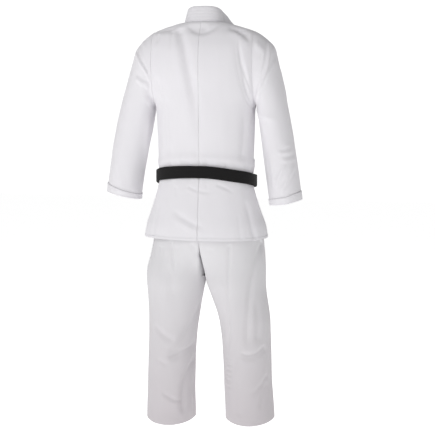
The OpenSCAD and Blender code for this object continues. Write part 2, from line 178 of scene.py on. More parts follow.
# Sleeve rings: outer x, outer drop, inner x, inner drop, half depth, squareness
TIP = 0.228                                     # outer end of the shoulder
CUFF_WIDTH = 0.118
CUFF_IN_X = CUFF_REACH - CUFF_WIDTH
CUFF_OUT_DROP = CUFF_DROP - CUFF_WIDTH * 0.24
SLEEVE_ROWS = np.array([
    (ARM_X + 0.001, 0.035, ARM_X + 0.001, ARMHOLE_DROP - 0.002, 0.079, 2.5),
    (TIP - 0.026, 0.052, ARM_X + 0.006, ARMHOLE_DROP + 0.004, 0.078, 2.4),
    (TIP + 0.002, 0.080, ARM_X + 0.009, ARMHOLE_DROP + 0.018, 0.076, 2.3),
    (TIP + 0.014, 0.118, ARM_X + 0.013, ARMHOLE_DROP + 0.036, 0.073, 2.2),
    (mix(TIP, CUFF_REACH, 0.32), mix(0.040, CUFF_OUT_DROP, 0.30), ARM_X + 0.018, ARMHOLE_DROP + 0.076,
     0.069, 2.1),
    (mix(TIP, CUFF_REACH, 0.52), mix(0.040, CUFF_OUT_DROP, 0.46), mix(ARM_X, CUFF_IN_X, 0.50),
     ARMHOLE_DROP + 0.130, 0.065, 2.0),
    (mix(TIP, CUFF_REACH, 0.70), mix(0.040, CUFF_OUT_DROP, 0.62), mix(ARM_X, CUFF_IN_X, 0.68),
     mix(ARMHOLE_DROP, CUFF_DROP, 0.60), 0.062, 2.0),
    (mix(TIP, CUFF_REACH, 0.86), mix(0.040, CUFF_OUT_DROP, 0.80), mix(ARM_X, CUFF_IN_X, 0.85),
     mix(ARMHOLE_DROP, CUFF_DROP, 0.80), 0.061, 2.0),
    (CUFF_REACH, CUFF_OUT_DROP, CUFF_IN_X, CUFF_DROP, 0.060, 2.0)])
CUFF_ROW = len(SLEEVE_ROWS) - 1

# Trouser seat sections: drop, half width, half depth
SEAT_ROWS = np.array([
    (WAIST_DROP, CHEST_HALF - 0.033, 0.084),
    (0.500, CHEST_HALF - 0.031, 0.086),
    (0.590, HIP_HALF - 0.051, 0.095),
    (0.665, HIP_HALF - 0.024, 0.109),
    (SEAT_END, HIP_HALF, 0.120)])

# Leg sections below the seat: drop, middle x, half width, half depth
LEG_HALF = 0.0835
LEG_X = high("leg_left")[0] - LEG_HALF
LEG_ROWS = np.array([
    (SEAT_END - 0.001, 0.100, 0.0995, 0.116),
    (0.750, 0.101, 0.1000, 0.113),
    (0.780, 0.102, 0.1005, 0.110),
    (0.822, 0.1030, 0.1005, 0.107),
    (CROTCH_DROP, 0.1045, 0.0995, 0.104),
    (CROTCH_DROP + 0.040, 0.1085, 0.0945, 0.099),
    (CROTCH_DROP + 0.120, LEG_X - 0.017, LEG_HALF + 0.003, 0.092),
    (CROTCH_DROP + 0.205, LEG_X - 0.010, LEG_HALF - 0.002, 0.086),
    (mix(CROTCH_DROP, TROUSER_END, 0.6), LEG_X - 0.006, LEG_HALF - 0.003, 0.084),
    (mix(CROTCH_DROP, TROUSER_END, 0.8), LEG_X - 0.003, LEG_HALF - 0.002, 0.083),
    (TROUSER_END, LEG_X, LEG_HALF, 0.082)])
LEG_END = len(LEG_ROWS) - 1

# ---------------------------------------------------------------- surfaces


def along(rows, s):
    """Smooth curve through the rows of a table, at row numbers s."""
    s = np.asarray(s, float)
    last = len(rows) - 1
    i = np.clip(np.floor(s).astype(int), 0, last - 1)
    t = (s - i)[..., None]
    before, here = rows[np.maximum(i - 1, 0)], rows[i]
    nxt, after = rows[i + 1], rows[np.minimum(i + 2, last)]
    return 0.5 * (2 * here + (nxt - before) * t + (2 * before - 5 * here + 4 * nxt - after) * t ** 2
                  + (3 * here - before - 3 * nxt + after) * t ** 3)


def body_surface(angle, s):
    r = along(BODY_ROWS, s)
    y = r[..., 3] + r[..., 2] * power(np.sin(angle), 2 / SQUARENESS)
    return np.stack([r[..., 1] * power(np.cos(angle), 2 / SQUARENESS), y, r[..., 4] * y - r[..., 0]], -1)


def sleeve_surface(angle, s):
    r = along(SLEEVE_ROWS, s)
    c, d = power(np.cos(angle), 2 / r[..., 5]), power(np.sin(angle), 2 / r[..., 5])
    return np.stack([(r[..., 0] + r[..., 2]) / 2 + (r[..., 0] - r[..., 2]) / 2 * c, r[..., 4] * d,
                     -(r[..., 1] + r[..., 3]) / 2 + (r[..., 3] - r[..., 1]) / 2 * c], -1)


def seat_surface(angle, s):
    r = along(SEAT_ROWS, s)
    return np.stack([r[..., 1] * power(np.cos(angle), 2 / SEAT_SQUARENESS),
                     r[..., 2] * power(np.sin(angle), 2 / SEAT_SQUARENESS), -r[..., 0]], -1)


def leg_surface(c, s, slack):
    """Leg ring at c from 0 to 1: the seat's outline with a flat inner wall, turning into a round tube.
    slack is how far the hip sinks in where the leg leaves the seat."""
    r = along(LEG_ROWS, s)
    around = np.clip(c / OUTER_SHARE, 0, 1)
    within = np.clip((c - OUTER_SHARE) / (1 - OUTER_SHARE), 0, 1)
    inner = c > OUTER_SHARE
    turn = math.pi / 2 - math.pi * around
    wide = HIP_HALF + CLOTH + (r[..., 0] - SEAT_END) * 0.10
    wide = wide - slack * (1 - ease((r[..., 0] - 0.770) / 0.12))
    deep = r[..., 3] + 0.004
    flat = np.stack([np.where(inner, LEG_GAP, LEG_GAP + wide * power(np.cos(turn), 2 / SEAT_SQUARENESS)),
                     deep * np.where(inner, 2 * within - 1, power(np.sin(turn), 2 / SEAT_SQUARENESS)),
                     -r[..., 0]], -1)
    turn = np.where(inner, -CORNER - 2 * (math.pi - CORNER) * within, CORNER * (1 - 2 * around))
    tube = np.stack([r[..., 1] + r[..., 2] * power(np.cos(turn), 0.96),
                     r[..., 3] * power(np.sin(turn), 0.96), -r[..., 0]], -1)
    return mix(flat, tube, ease((r[..., 0] - SEAT_END) / (CROTCH_DROP + 0.015 - SEAT_END))[..., None])


ANGLE_NUDGE, ROW_NUDGE = 0.006, 0.01            # for the slope of a surface


def offset(shape, a, b, d):
    """Point of a surface moved out along its normal by d."""
    a, b = np.broadcast_arrays(np.asarray(a, float), np.asarray(b, float))
    side = shape(a + ANGLE_NUDGE, b) - shape(a - ANGLE_NUDGE, b)
    down = shape(a, b + ROW_NUDGE) - shape(a, b - ROW_NUDGE)
    return shape(a, b) + np.asarray(d)[..., None] * unit(np.cross(down, side))


def angle_at(x, s):
    """Angle on a jacket section at which the section is x wide."""
    half = along(BODY_ROWS, s)[..., 1]
    return np.arccos(power(np.clip(x / half, -1, 1), SQUARENESS / 2))


def side_angle(s):
    return np.where(s < ARMHOLE_ROW, angle_at(ARM_X, s), 0.0)


def edge_x(s):
    """The left front edge runs from the neck, over the middle, to the right hip."""
    drop = along(BODY_ROWS, s)[..., 0]
    neck_x = NECK_HALF - 0.003
    high_part = neck_x * (1 - (drop - NECK_DROP) / (CROSSING_DROP - NECK_DROP))
    low_part = -0.095 * (1 - np.exp((CROSSING_DROP - drop) / 0.190))
    return np.where(drop < CROSSING_DROP, high_part, low_part)


def overlap_lift(x, s):
    return WRAP_LIFT * ease((0.130 - x) / 0.035) * ease((s - 5) / 1.5)

# ---------------------------------------------------------------- mesh helpers

JACKET_THICK = 0.0018                           # thickness of the outer cloth
LINING_THICK = 0.0014


def new_object(name, verts, faces, uvs):
    mesh = bpy.data.meshes.new(name)
    mesh.from_pydata(np.asarray(verts, float).reshape(-1, 3).tolist(), [], faces)
    mesh.polygons.foreach_set("use_smooth", [True] * len(mesh.polygons))
    layer = mesh.uv_layers.new(name="cloth")
    loops = np.empty(len(mesh.loops), np.int32)
    mesh.loops.foreach_get("vertex_index", loops)
    layer.data.foreach_set("uv", np.asarray(uvs, np.float32).reshape(-1, 2)[loops].ravel())
    obj = bpy.data.objects.new(name, mesh)
    bpy.context.scene.collection.objects.link(obj)
    return obj


def grid_faces(columns, rows, ring):
    wide = columns if ring else columns - 1
    return [(j * columns + i, j * columns + (i + 1) % columns,
             (j + 1) * columns + (i + 1) % columns, (j + 1) * columns + i)
            for j in range(rows - 1) for i in range(wide)]


def grid_normals(points, ring):
    """Outward normals of a grid of points, rows first."""
    if ring:
        du = np.roll(points, -1, 1) - np.roll(points, 1, 1)
    else:
        du = np.gradient(points, axis=1)
    dv = np.gradient(points, axis=0)
    return unit(np.cross(dv, du))


def grid_uv(points):
    """Cloth coordinates of a grid in metres, from the lengths along its rows and columns."""
    across = np.linalg.norm(np.diff(points, axis=1), axis=-1)
    down = np.linalg.norm(np.diff(points, axis=0), axis=-1)
    u = np.concatenate([np.zeros((points.shape[0], 1)), np.cumsum(across, 1)], 1)
    v = np.concatenate([np.zeros((1, points.shape[1])), np.cumsum(down, 0)], 0)
    return np.stack([u, -v], -1)


def perlin(points, scale, seed):
    """Smooth noise from -1 to 1 at an array of points; scale is a number or one for each axis."""
    shift = np.array((seed * 7.31, seed * 3.17, seed * 5.53))
    flat = (points * np.asarray(scale) + shift).reshape(-1, 3)
    return np.array([noise.noise(p) for p in flat.tolist()]).reshape(points.shape[:-1])


def mirror_x(points):
    """The same grid on the other side, with its columns reversed so that it still faces out."""
    out = points[:, ::-1].copy()
    out[..., 0] *= -1
    return out


def cloth_grid(name, points, ring, thick=JACKET_THICK, rounded=True):
    """Cloth piece from a grid of points: its outer face and a thickness inwards."""
    rows, columns = points.shape[:2]
    obj = new_object(name, points, grid_faces(columns, rows, ring), grid_uv(points))
    if rounded:
        smooth = obj.modifiers.new("smooth", "SUBSURF")
        smooth.levels = smooth.render_levels = 1
    solid = obj.modifiers.new("thickness", "SOLIDIFY")
    solid.thickness = thick
    solid.offset = -1.0
    return obj

# ---------------------------------------------------------------- folds


def surface_path(pool, places):
    """Points of a surface, given as a pool of points, along a smooth line through (x, z) places."""
    length = sum(math.dist(a, b) for a, b in zip(places[:-1], places[1:]))
    line = smooth_path(places, max(int(length / 0.008), 1) + 1)
    near = [np.argpartition((pool[:, 0] - x) ** 2 + (pool[:, 2] - z) ** 2, 3)[:3] for x, z in line]
    path = pool[np.array(near)].mean(axis=1)
    for _ in range(2):
        path[1:-1] = (path[:-2] + path[1:-1] + path[2:]) / 3
    return path


def facing(grid, back):
    """Points of a closed grid that lie on its back or its front."""
    middle = grid[..., 1].mean(axis=1, keepdims=True)
    return grid[(grid[..., 1] > middle) if back else (grid[..., 1] < middle)]


SEAM_CALM = 0.020                               # folds die out this near an armhole, so its two edges meet
FOLD_SHIFT = 0.0065                             # towards the wearer's right


def with_paths(pool, folds, share=1.0):
    """Folds with their (x, z) places turned into paths on a surface, and a share of their depth."""
    return [(surface_path(pool, [(x - FOLD_SHIFT, z) for x, z in places]),
             width, depth * share, bank * share, taper)
            for places, width, depth, bank, taper in folds]


def on_side(side, folds):
    """Folds placed on the wearer's left, or their mirror image on the right."""
    sign = dict(SIDES)[side]
    return [([(sign * x, z) for x, z in places], *rest) for places, *rest in folds]


def limb_folds(base, n, side, behind, ahead):
    """Height of the folds of a sleeve or a leg: its own behind, and mirrored ones in front."""
    height = folded(base, n, with_paths(facing(base, True), behind[side], 0.75))
    return height + folded(base, n, with_paths(facing(base, False), on_side(side, ahead)))


def fold(p, n, path, width, depth, bank, taper):
    """Height of one fold at the points p with normals n: a valley, and a bank on its left side."""
    best = np.full(p.shape[:-1], 1e9)
    signed, place = np.zeros_like(best), np.zeros_like(best)
    steps = np.linalg.norm(np.diff(path, axis=0), axis=1)
    total, walked = steps.sum(), 0.0
    for a, b, length in zip(path[:-1], path[1:], steps):
        if length < 1e-6:
            continue
        e = (b - a) / length
        t = np.clip((p - a) @ e, 0, length)
        q = p - (a + t[..., None] * e)
        d = np.linalg.norm(q, axis=-1)
        near = d < best
        best = np.where(near, d, best)
        signed = np.where(near, np.sum(q * np.cross(e, n), -1), signed)
        place = np.where(near, (walked + t) / total, place)
        walked += length
    fade = ease(place / max(taper[0], 1e-3)) * ease((1 - place) / max(taper[1], 1e-3))
    valley = np.exp(-(best / width) ** 2)
    aside = np.sqrt(np.maximum(best ** 2 - signed ** 2, 0))
    beside = np.exp(-((signed - 1.9 * width) / (1.1 * width)) ** 2 - (aside / (1.5 * width)) ** 2)
    return fade * (bank * beside - depth * valley)


def folded(base, normals, folds):
    """Sum over a grid of the folds near it, each (path, width, depth, bank, taper)."""
    height = np.zeros(base.shape[:-1])
    low_corner, high_corner = base.min(axis=(0, 1)), base.max(axis=(0, 1))
    for path, width, depth, *rest in folds:
        reach = 4 * width
        above, below = path.max(axis=0) > low_corner - reach, path.min(axis=0) < high_corner + reach
        if np.all(above) and np.all(below):
            height += fold(base, normals, path, width, depth, *rest)
    return height


def dip(distance, width, depth):
    """Narrow groove beside a seam."""
    return -depth * np.exp(-(distance / width) ** 2)


# ---------------------------------------------------------------- materials


def add_node(tree, kind, **inputs):
    """Shader node; an underscore in the name of an input stands for a space."""
    node = tree.nodes.new("ShaderNode" + kind)
    set_inputs(tree, node, **inputs)
    return node


def set_inputs(tree, node, **inputs):
    """Set inputs of a shader node to values, or link them to the outputs of other nodes."""
    for name, value in inputs.items():
        socket = node.inputs[name.replace("_", " ")]
        if isinstance(value, bpy.types.NodeSocket):
            tree.links.new(value, socket)
        else:
            socket.default_value = value


def maths(tree, operation, a, b):
    node = tree.nodes.new("ShaderNodeMath")
    node.operation = operation
    tree.links.new(a, node.inputs[0])
    tree.links.new(b, node.inputs[1])
    return node.outputs[0]


def blended(tree, how, factor, a, b):
    """Colour b laid over colour a."""
    node = tree.nodes.new("ShaderNodeMix")
    node.data_type = "RGBA"
    node.blend_type = how
    set_inputs(tree, node, Factor=factor, A=a, B=b)
    return node.outputs["Result"]


def cotton(name, colour, thread, bump, tone=0.025, sheen=0.2, low_painted_shade=None):
    """Plain woven cotton: crossing threads in cloth coordinates, faint slubs and uneven tone. The optional
    colour for the low part is painted shade: it darkens the cloth towards the trouser hems, where the light
    falls off.
    """
    mat = bpy.data.materials.new(name)
    mat.use_nodes = True
    tree = mat.node_tree
    cloth = add_node(tree, "UVMap")
    cloth.uv_map = "cloth"
    waves = []
    for direction in ("X", "Y"):
        wave = add_node(tree, "TexWave", Scale=1 / thread / 20 * math.pi, Distortion=0.8, Detail=1.0,
                        Vector=cloth.outputs["UV"])
        wave.bands_direction = direction
        waves.append(wave.outputs["Fac"])
    weave = maths(tree, "MULTIPLY", *waves)
    place = add_node(tree, "TexCoord").outputs["Object"]
    slub = add_node(tree, "TexNoise", Scale=300, Detail=2, Vector=place)
    relief = add_node(tree, "Bump", Strength=0.35, Distance=bump,
                      Height=maths(tree, "ADD", weave, slub.outputs["Fac"]))
    cloud = add_node(tree, "TexNoise", Scale=6, Detail=4, Vector=place)
    pale, deep = ([min(c * (1 + change), 1.0) for c in colour] for change in (tone, -tone))
    # The weave also darkens the colour a little between its threads: painted shade in the hollows of the
    # weave.
    shade = add_node(tree, "MapRange", To_Min=0.95, Value=weave)
    seen = blended(tree, "MIX", cloud.outputs["Fac"], (*deep, 1), (*pale, 1))
    seen = blended(tree, "MULTIPLY", 1.0, seen, shade.outputs["Result"])
    # Painted shade: the colour darkens from high on the legs down to the trouser hems, standing in for
    # light that falls off lower down.
    if low_painted_shade:
        height = add_node(tree, "SeparateXYZ", Vector=place).outputs["Z"]
        painted_shade_fall = add_node(tree, "MapRange", From_Min=-0.80, From_Max=-TROUSER_END, Value=height)
        seen = blended(tree, "MULTIPLY", painted_shade_fall.outputs["Result"], seen, (*low_painted_shade, 1))
    set_inputs(tree, tree.nodes["Principled BSDF"], Roughness=0.9, Sheen_Weight=sheen, Sheen_Roughness=0.6,
               Specular_IOR_Level=0.2, Normal=relief.outputs["Normal"], Base_Color=seen)
    return mat


JACKET = cotton("jacket_canvas", (0.81, 0.795, 0.825), 0.0011, 0.0002)
# The same white cotton as the jacket. Its darker base colour is painted shade for the trousers hanging
# lower, further from the lights.
TROUSER = cotton("trouser_canvas", (0.715, 0.705, 0.725), 0.0010, 0.0002, low_painted_shade=(0.83, 0.79, 0.80))
BELT = cotton("belt_cotton", (0.0085, 0.0078, 0.008), 0.0009, 0.0003, tone=0.2, sheen=0.05)
THREAD = cotton("stitch_thread", (0.76, 0.755, 0.78), 0.0004, 0.0001)
BELT_THREAD = cotton("belt_thread", (0.013, 0.012, 0.0125), 0.0004, 0.0001, sheen=0.05)


def paint(obj, material):
    obj.data.materials.clear()
    obj.data.materials.append(material)
    return obj


def jacket_cotton(obj):
    return paint(obj, JACKET)


def trouser_cotton(obj):
    return paint(obj, TROUSER)


def belt_cotton(obj):
    return paint(obj, BELT)


def worn(obj, body, *nodes):
    """Piece that rides on one body and stands in for frame nodes."""
    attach(obj, body)
    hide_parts(*nodes)

# ---------------------------------------------------------------- straps and stitches


def strap(name, path, across, out, half, thick, ribs=0, closed=False, rib_height=0.00045, crown=0.0):
    """Woven band along a path. across and out are unit vectors at each point; ribs run along it."""
    path, across, out = (np.asarray(a, float) for a in (path, across, out))
    half = np.broadcast_to(np.asarray(half, float), (len(path),))
    a = np.linspace(-1, 1, max(ribs * 5, 12) + 1)
    shape = np.maximum(1 - np.abs(a) ** 10, 0) ** 0.5
    relief = rib_height * np.abs(np.cos(np.pi * ribs * (a + 1) / 2)) if ribs else 0 * a
    core = shape * (thick / 2 - (rib_height if ribs else 0))
    rise = crown * (1 - a ** 2)
    top = np.stack([a, core + shape * relief + rise], -1)
    bottom = np.stack([a, -core - shape * relief + rise], -1)
    outline = np.concatenate([top, bottom[-2:0:-1]])
    grid = (path[:, None] + outline[None, :, 0, None] * half[:, None, None] * across[:, None]
            + outline[None, :, 1, None] * out[:, None])
    rows, columns = grid.shape[:2]
    faces = grid_faces(columns, rows, True)
    end = (rows - 1) * columns
    if closed:
        faces += [(end + i, end + (i + 1) % columns, (i + 1) % columns, i) for i in range(columns)]
    else:
        faces += [tuple(range(columns))[::-1], tuple(end + i for i in range(columns))]
    return new_object(name, grid, faces, grid_uv(grid))


def smooth_path(points, count):
    """Evenly spaced smooth curve through a few points."""
    points = np.asarray(points, float)
    curve = along(points, np.linspace(0, len(points) - 1, 400))
    walked = lengths(curve)
    return at_lengths(np.linspace(0, walked[-1], count), walked, curve)


def upright_frames(path, closed=False):
    """Upward and outward directions along a band that goes round the body."""
    ahead = unit(np.roll(path, -1, 0) - np.roll(path, 1, 0) if closed else np.gradient(path, axis=0))
    up = np.array((0, 0, 1.0)) + 0 * path
    out = unit(np.cross(ahead, up))
    out = np.where(np.sum(out * path * (1, 1, 0), -1, keepdims=True) < 0, -out, out)
    return unit(up - ahead * np.sum(ahead * up, -1, keepdims=True)), out


STITCH_LENGTH, STITCH_GAP, STITCH_RADIUS = 0.0036, 0.0012, 0.00042
# Rings of one stitch: share of its length, how far it stands off, share of its radius
STITCH_RINGS = ((-0.5, 0.0, 0.4), (-0.36, 0.6, 1.0), (0.36, 0.6, 1.0), (0.5, 0.0, 0.4))


def stitches(name, lines):
    """Rows of lockstitches, each a small rounded thread, along (points, normals) lines."""
    verts, faces = [], []
    half = STITCH_LENGTH / 2
    for points, normals in lines:
        walked = lengths(points)
        centres = np.arange(half, walked[-1] - half, STITCH_LENGTH + STITCH_GAP)
        middles = at_lengths(centres, walked, points)
        t = unit(at_lengths(centres + half, walked, points) - at_lengths(centres - half, walked, points))
        n = at_lengths(centres, walked, normals)
        n = unit(n - t * np.sum(n * t, -1, keepdims=True))
        for m, tt, nn, ss in zip(middles, t, n, np.cross(t, n)):
            base = len(verts)
            for part, lift, size in STITCH_RINGS:
                c = m + tt * part * STITCH_LENGTH + nn * STITCH_RADIUS * lift
                r = STITCH_RADIUS * size
                verts.extend((c + ss * r, c + nn * r, c - ss * r, c - nn * r))
            for r in range(base, base + 12, 4):
                faces.extend((r + k, r + (k + 1) % 4, r + 4 + (k + 1) % 4, r + 4 + k) for k in range(4))
            faces.append((base + 3, base + 2, base + 1, base))
            faces.append((base + 12, base + 13, base + 14, base + 15))
    verts = np.array(verts)
    return new_object(name, verts, faces, np.stack([verts[:, 0] + verts[:, 1], verts[:, 2]], -1))

# ---------------------------------------------------------------- camera, light and floor

LOOK_TURN = math.radians(12)                    # the camera stands this far round to the wearer's right
LOOK_DISTANCE = 3.22
LOOK_HEIGHT = -0.26
LOOK_AT_DROP = 0.650
LOOK_ASIDE = 0.0387
LOOK_FIELD = math.radians(25.7)
FLOOR_HEIGHT, FLOOR_REACH = -1.50, 9
SURROUND_LIGHT, BACKDROP_LIGHT = 0.36, 1.1         # on the cloth, and as the camera sees it


def camera():
    back = Vector((-math.sin(LOOK_TURN), math.cos(LOOK_TURN), 0))
    right = Vector((-math.cos(LOOK_TURN), -math.sin(LOOK_TURN), 0))
    data = bpy.data.cameras.new("camera")
    data.sensor_fit = "VERTICAL"
    data.angle = LOOK_FIELD
    obj = bpy.data.objects.new("camera", data)
    obj.location = back * LOOK_DISTANCE + right * LOOK_ASIDE + Vector((0, 0, LOOK_HEIGHT))
    target = right * LOOK_ASIDE + Vector((0, 0, -LOOK_AT_DROP))
    obj.rotation_euler = (target - obj.location).to_track_quat("-Z", "Y").to_euler()
    bpy.context.scene.collection.objects.link(obj)
    bpy.context.scene.camera = obj


def area_light(name, place, target, size, watts):
    data = bpy.data.lights.new(name, "AREA")
    data.shape = "DISK"
    data.size = size
    data.energy = watts
    obj = bpy.data.objects.new(name, data)
    obj.location = place
    obj.rotation_euler = (Vector(target) - Vector(place)).to_track_quat("-Z", "Y").to_euler()
    bpy.context.scene.collection.objects.link(obj)


def studio():
    """White studio: an even white surround, and large soft lights high on the wearer's left."""
    scene = bpy.context.scene
    scene.view_settings.view_transform = "Standard"
    world = bpy.data.worlds.new("studio")
    world.use_nodes = True
    tree = world.node_tree
    seen = add_node(tree, "LightPath")
    strength = add_node(tree, "MapRange", To_Min=SURROUND_LIGHT, To_Max=BACKDROP_LIGHT,
                        Value=seen.outputs["Is Camera Ray"])
    set_inputs(tree, tree.nodes["Background"], Color=(1, 1, 1, 1), Strength=strength.outputs["Result"])
    scene.world = world
    area_light("key_light", (1.9, 2.3, 1.0), (0, 0, -0.40), 1.6, 25)
    area_light("fill_light", (-0.5, 3.2, -0.2), (0, 0, -0.65), 1.4, 15.5)
    area_light("front_light", (1.4, -2.6, 0.9), (0, 0, -0.5), 1.8, 40)
    corners = [(x * FLOOR_REACH, y * FLOOR_REACH, FLOOR_HEIGHT)
               for x, y in ((-1, -1), (1, -1), (1, 1), (-1, 1))]
    floor = new_object("floor", corners, [(0, 1, 2, 3)], [(0, 0), (1, 0), (1, 1), (0, 1)])
    pale = bpy.data.materials.new("floor")
    pale.use_nodes = True
    set_inputs(pale.node_tree, pale.node_tree.nodes["Principled BSDF"], Base_Color=(0.95, 0.95, 0.95, 1),
               Roughness=1.0, Emission_Color=(1, 1, 1, 1), Emission_Strength=0.65)
    floor.data.materials.append(pale)


camera()
studio()

# ---------------------------------------------------------------- jacket surfaces


def body_grid(angle, s, lift):
    """Outer face and normals of the jacket cloth at angles and rows."""
    base = offset(body_surface, angle, s, CLOTH + lift)
    return base, unit(offset(body_surface, angle, s, CLOTH + lift + 0.001) - base)


def hang(p):
    """Small unevenness of hanging canvas: long upright ripples, and gathers beside the belt."""
    height = 0.0011 * perlin(p, (15, 15, 3.5), 1) + 0.0007 * perlin(p, (38, 38, 9), 2)
    above_belt = p[..., 2] - (-BELT_DROP + BELT_RISE * p[..., 1])
    off = np.abs(above_belt) - BELT_WIDTH / 2
    height += np.exp(-np.maximum(off, 0) / 0.020) * 0.0024 * perlin(p, (62, 62, 6), 3)
    height += 0.0035 * np.exp(-((above_belt - 0.040) / 0.016) ** 2)
    return height - 0.0010 * np.exp(-((off + 0.010) / 0.020) ** 2)


# Folds of the back, each at (x, z) places: width, depth, bank height, tapers
BACK_FOLDS = [
    ([(0.080, -0.018), (0.056, -0.081), (0.040, -0.148), (0.024, -0.229), (0.012, -0.317), (0.008, -0.390)],
     0.0150, 0.0085, 0.0022, (0.06, 0.5)),
    ([(0.038, -0.020), (0.006, -0.022), (-0.026, -0.020)], 0.0150, 0.0060, 0.0, (0.3, 0.3)),
    ([(0.168, -0.030), (0.120, -0.026), (0.080, -0.020)], 0.0100, 0.0040, 0.0, (0.2, 0.3)),
    ([(-0.080, -0.020), (-0.120, -0.030), (-0.160, -0.045)], 0.0120, 0.0050, 0.0, (0.2, 0.3)),
    ([(0.100, -0.028), (0.098, -0.100)], 0.008, 0.0035, 0.0, (0.1, 0.6)),
    ([(-0.105, -0.018), (-0.140, -0.044), (-0.172, -0.072)], 0.012, 0.0060, 0.0015, (0.2, 0.05)),
    ([(-0.118, -0.040), (-0.127, -0.104), (-0.137, -0.172), (-0.153, -0.246), (-0.168, -0.290)],
     0.0065, 0.0062, -0.0022, (0.3, 0.05)),
    ([(-0.133, -0.118), (-0.147, -0.182), (-0.169, -0.246)], 0.0045, 0.0048, 0.002, (0.35, 0.05)),
    ([(-0.140, -0.285), (-0.134, -0.390), (-0.126, -0.465)], 0.013, 0.0050, 0.0, (0.35, 0.2)),
    ([(0.019, -0.385), (0.011, -0.470)], 0.006, 0.0022, 0.0, (0.5, 0.1)),
    ([(0.126, -0.250), (0.118, -0.460)], 0.011, 0.0028, 0.0, (0.4, 0.2)),
    ([(0.030, -0.182), (0.009, -0.181)], 0.003, 0.0013, 0.0, (0.3, 0.3)),
    ([(0.052, -0.008), (0.028, -0.028), (0.002, -0.040), (-0.030, -0.028), (-0.060, -0.008)],
     0.009, 0.0042, 0.0, (0.15, 0.15)),
    ([(0.150, -0.036), (0.152, -0.075)], 0.006, 0.0030, 0.0, (0.2, 0.5)),
    ([(0.155, -0.170), (0.140, -0.235), (0.136, -0.300)], 0.010, 0.0032, 0.0, (0.2, 0.5)),
    ([(0.060, -0.445), (0.067, -0.478)], 0.004, 0.0030, 0.0, (0.6, 0.05)),
    ([(-0.020, -0.440), (-0.013, -0.478)], 0.0035, 0.0028, 0.0, (0.6, 0.05)),
    ([(-0.080, -0.452), (-0.083, -0.480)], 0.0035, 0.0028, 0.0, (0.6, 0.05)),
    ([(0.110, -0.450), (0.106, -0.480)], 0.0035, 0.0028, 0.0, (0.6, 0.05))]
SKIRT_FOLDS = [
    ([(0.098, -0.612), (0.054, -0.640), (0.002, -0.664), (-0.033, -0.674)],
     0.010, 0.0050, 0.0025, (0.3, 0.4)),
    ([(-0.138, -0.572), (-0.157, -0.634), (-0.171, -0.687), (-0.182, -0.724)],
     0.011, 0.0080, -0.002, (0.3, 0.05)),
    ([(-0.122, -0.600), (-0.128, -0.660), (-0.137, -0.724)], 0.009, 0.0035, 0.0, (0.4, 0.05)),
    ([(0.150, -0.570), (0.158, -0.644), (0.170, -0.715)], 0.007, 0.0040, 0.0, (0.3, 0.1)),
    ([(0.047, -0.532), (0.020, -0.546), (-0.012, -0.553), (-0.046, -0.556)],
     0.0050, 0.0032, 0.0015, (0.1, 0.5)),
    ([(-0.050, -0.526), (-0.082, -0.540), (-0.112, -0.556)], 0.0050, 0.0030, 0.0012, (0.1, 0.5)),
    ([(0.086, -0.536), (0.078, -0.575)], 0.0050, 0.0025, 0.0, (0.05, 0.6)),
    ([(-0.020, -0.525), (-0.024, -0.560)], 0.0040, 0.0022, 0.0, (0.05, 0.6)),
    ([(0.010, -0.700), (0.014, -0.724)], 0.010, 0.0018, 0.0, (0.5, 0.01))]
# Folds of the front, none of which the camera's view shows
FRONT_FOLDS = [
    ([(0.150, -0.160), (0.120, -0.260), (0.080, -0.370), (0.045, -0.470)],
     0.012, 0.0055, 0.002, (0.2, 0.2)),
    ([(0.155, -0.240), (0.140, -0.340), (0.110, -0.460)], 0.009, 0.0045, 0.002, (0.2, 0.2)),
    ([(-0.152, -0.180), (-0.125, -0.290), (-0.080, -0.380)], 0.012, 0.0050, -0.002, (0.2, 0.4)),
    ([(-0.155, -0.270), (-0.135, -0.380), (-0.100, -0.470)], 0.009, 0.0040, -0.002, (0.2, 0.2)),
    ([(0.130, -0.060), (0.140, -0.150)], 0.008, 0.0040, 0.0, (0.2, 0.4)),
    ([(-0.130, -0.060), (-0.140, -0.150)], 0.008, 0.0040, 0.0, (0.2, 0.4)),
    ([(0.100, -0.560), (0.130, -0.640), (0.150, -0.720)], 0.011, 0.0055, 0.002, (0.2, 0.05)),
    ([(0.020, -0.570), (0.030, -0.720)], 0.010, 0.0035, 0.0, (0.2, 0.05)),
    ([(-0.110, -0.570), (-0.140, -0.720)], 0.011, 0.0050, -0.002, (0.2, 0.05))]


def whole_side(back):
    """Points all over the back or the front of the jacket."""
    s = np.linspace(0, HEM_ROW, 240)[:, None]
    turn = np.linspace(0.02, math.pi - 0.02, 160)[None, :] * (1 if back else -1)
    return offset(body_surface, turn, s, CLOTH).reshape(-1, 3)


BACK_PATHS = with_paths(whole_side(True), BACK_FOLDS) + with_paths(whole_side(True), SKIRT_FOLDS, 0.55)
FRONT_PATHS = with_paths(whole_side(False), FRONT_FOLDS)


def from_armhole(p, s):
    """Rough distance of points of the jacket body from the armhole seam."""
    return np.abs(np.abs(p[..., 0]) - ARM_X) + np.maximum(s - ARMHOLE_ROW, 0) * 0.1


def seam_dips(p, s, back):
    """Grooves of the middle seam of the back and of the armholes."""
    height = dip(from_armhole(p, s), 0.0030, 0.0004)
    return height + dip(p[..., 0], 0.0024, 0.00025) if back else height


def hem_dips(s):
    """Turned-up hem: a groove 14 mm above the edge and a slightly thicker band below it."""
    up = (HEM_ROW - s) * 0.040
    return dip(up - 0.014, 0.0018, 0.0003) + 0.0003 * ease((0.013 - up) / 0.003)


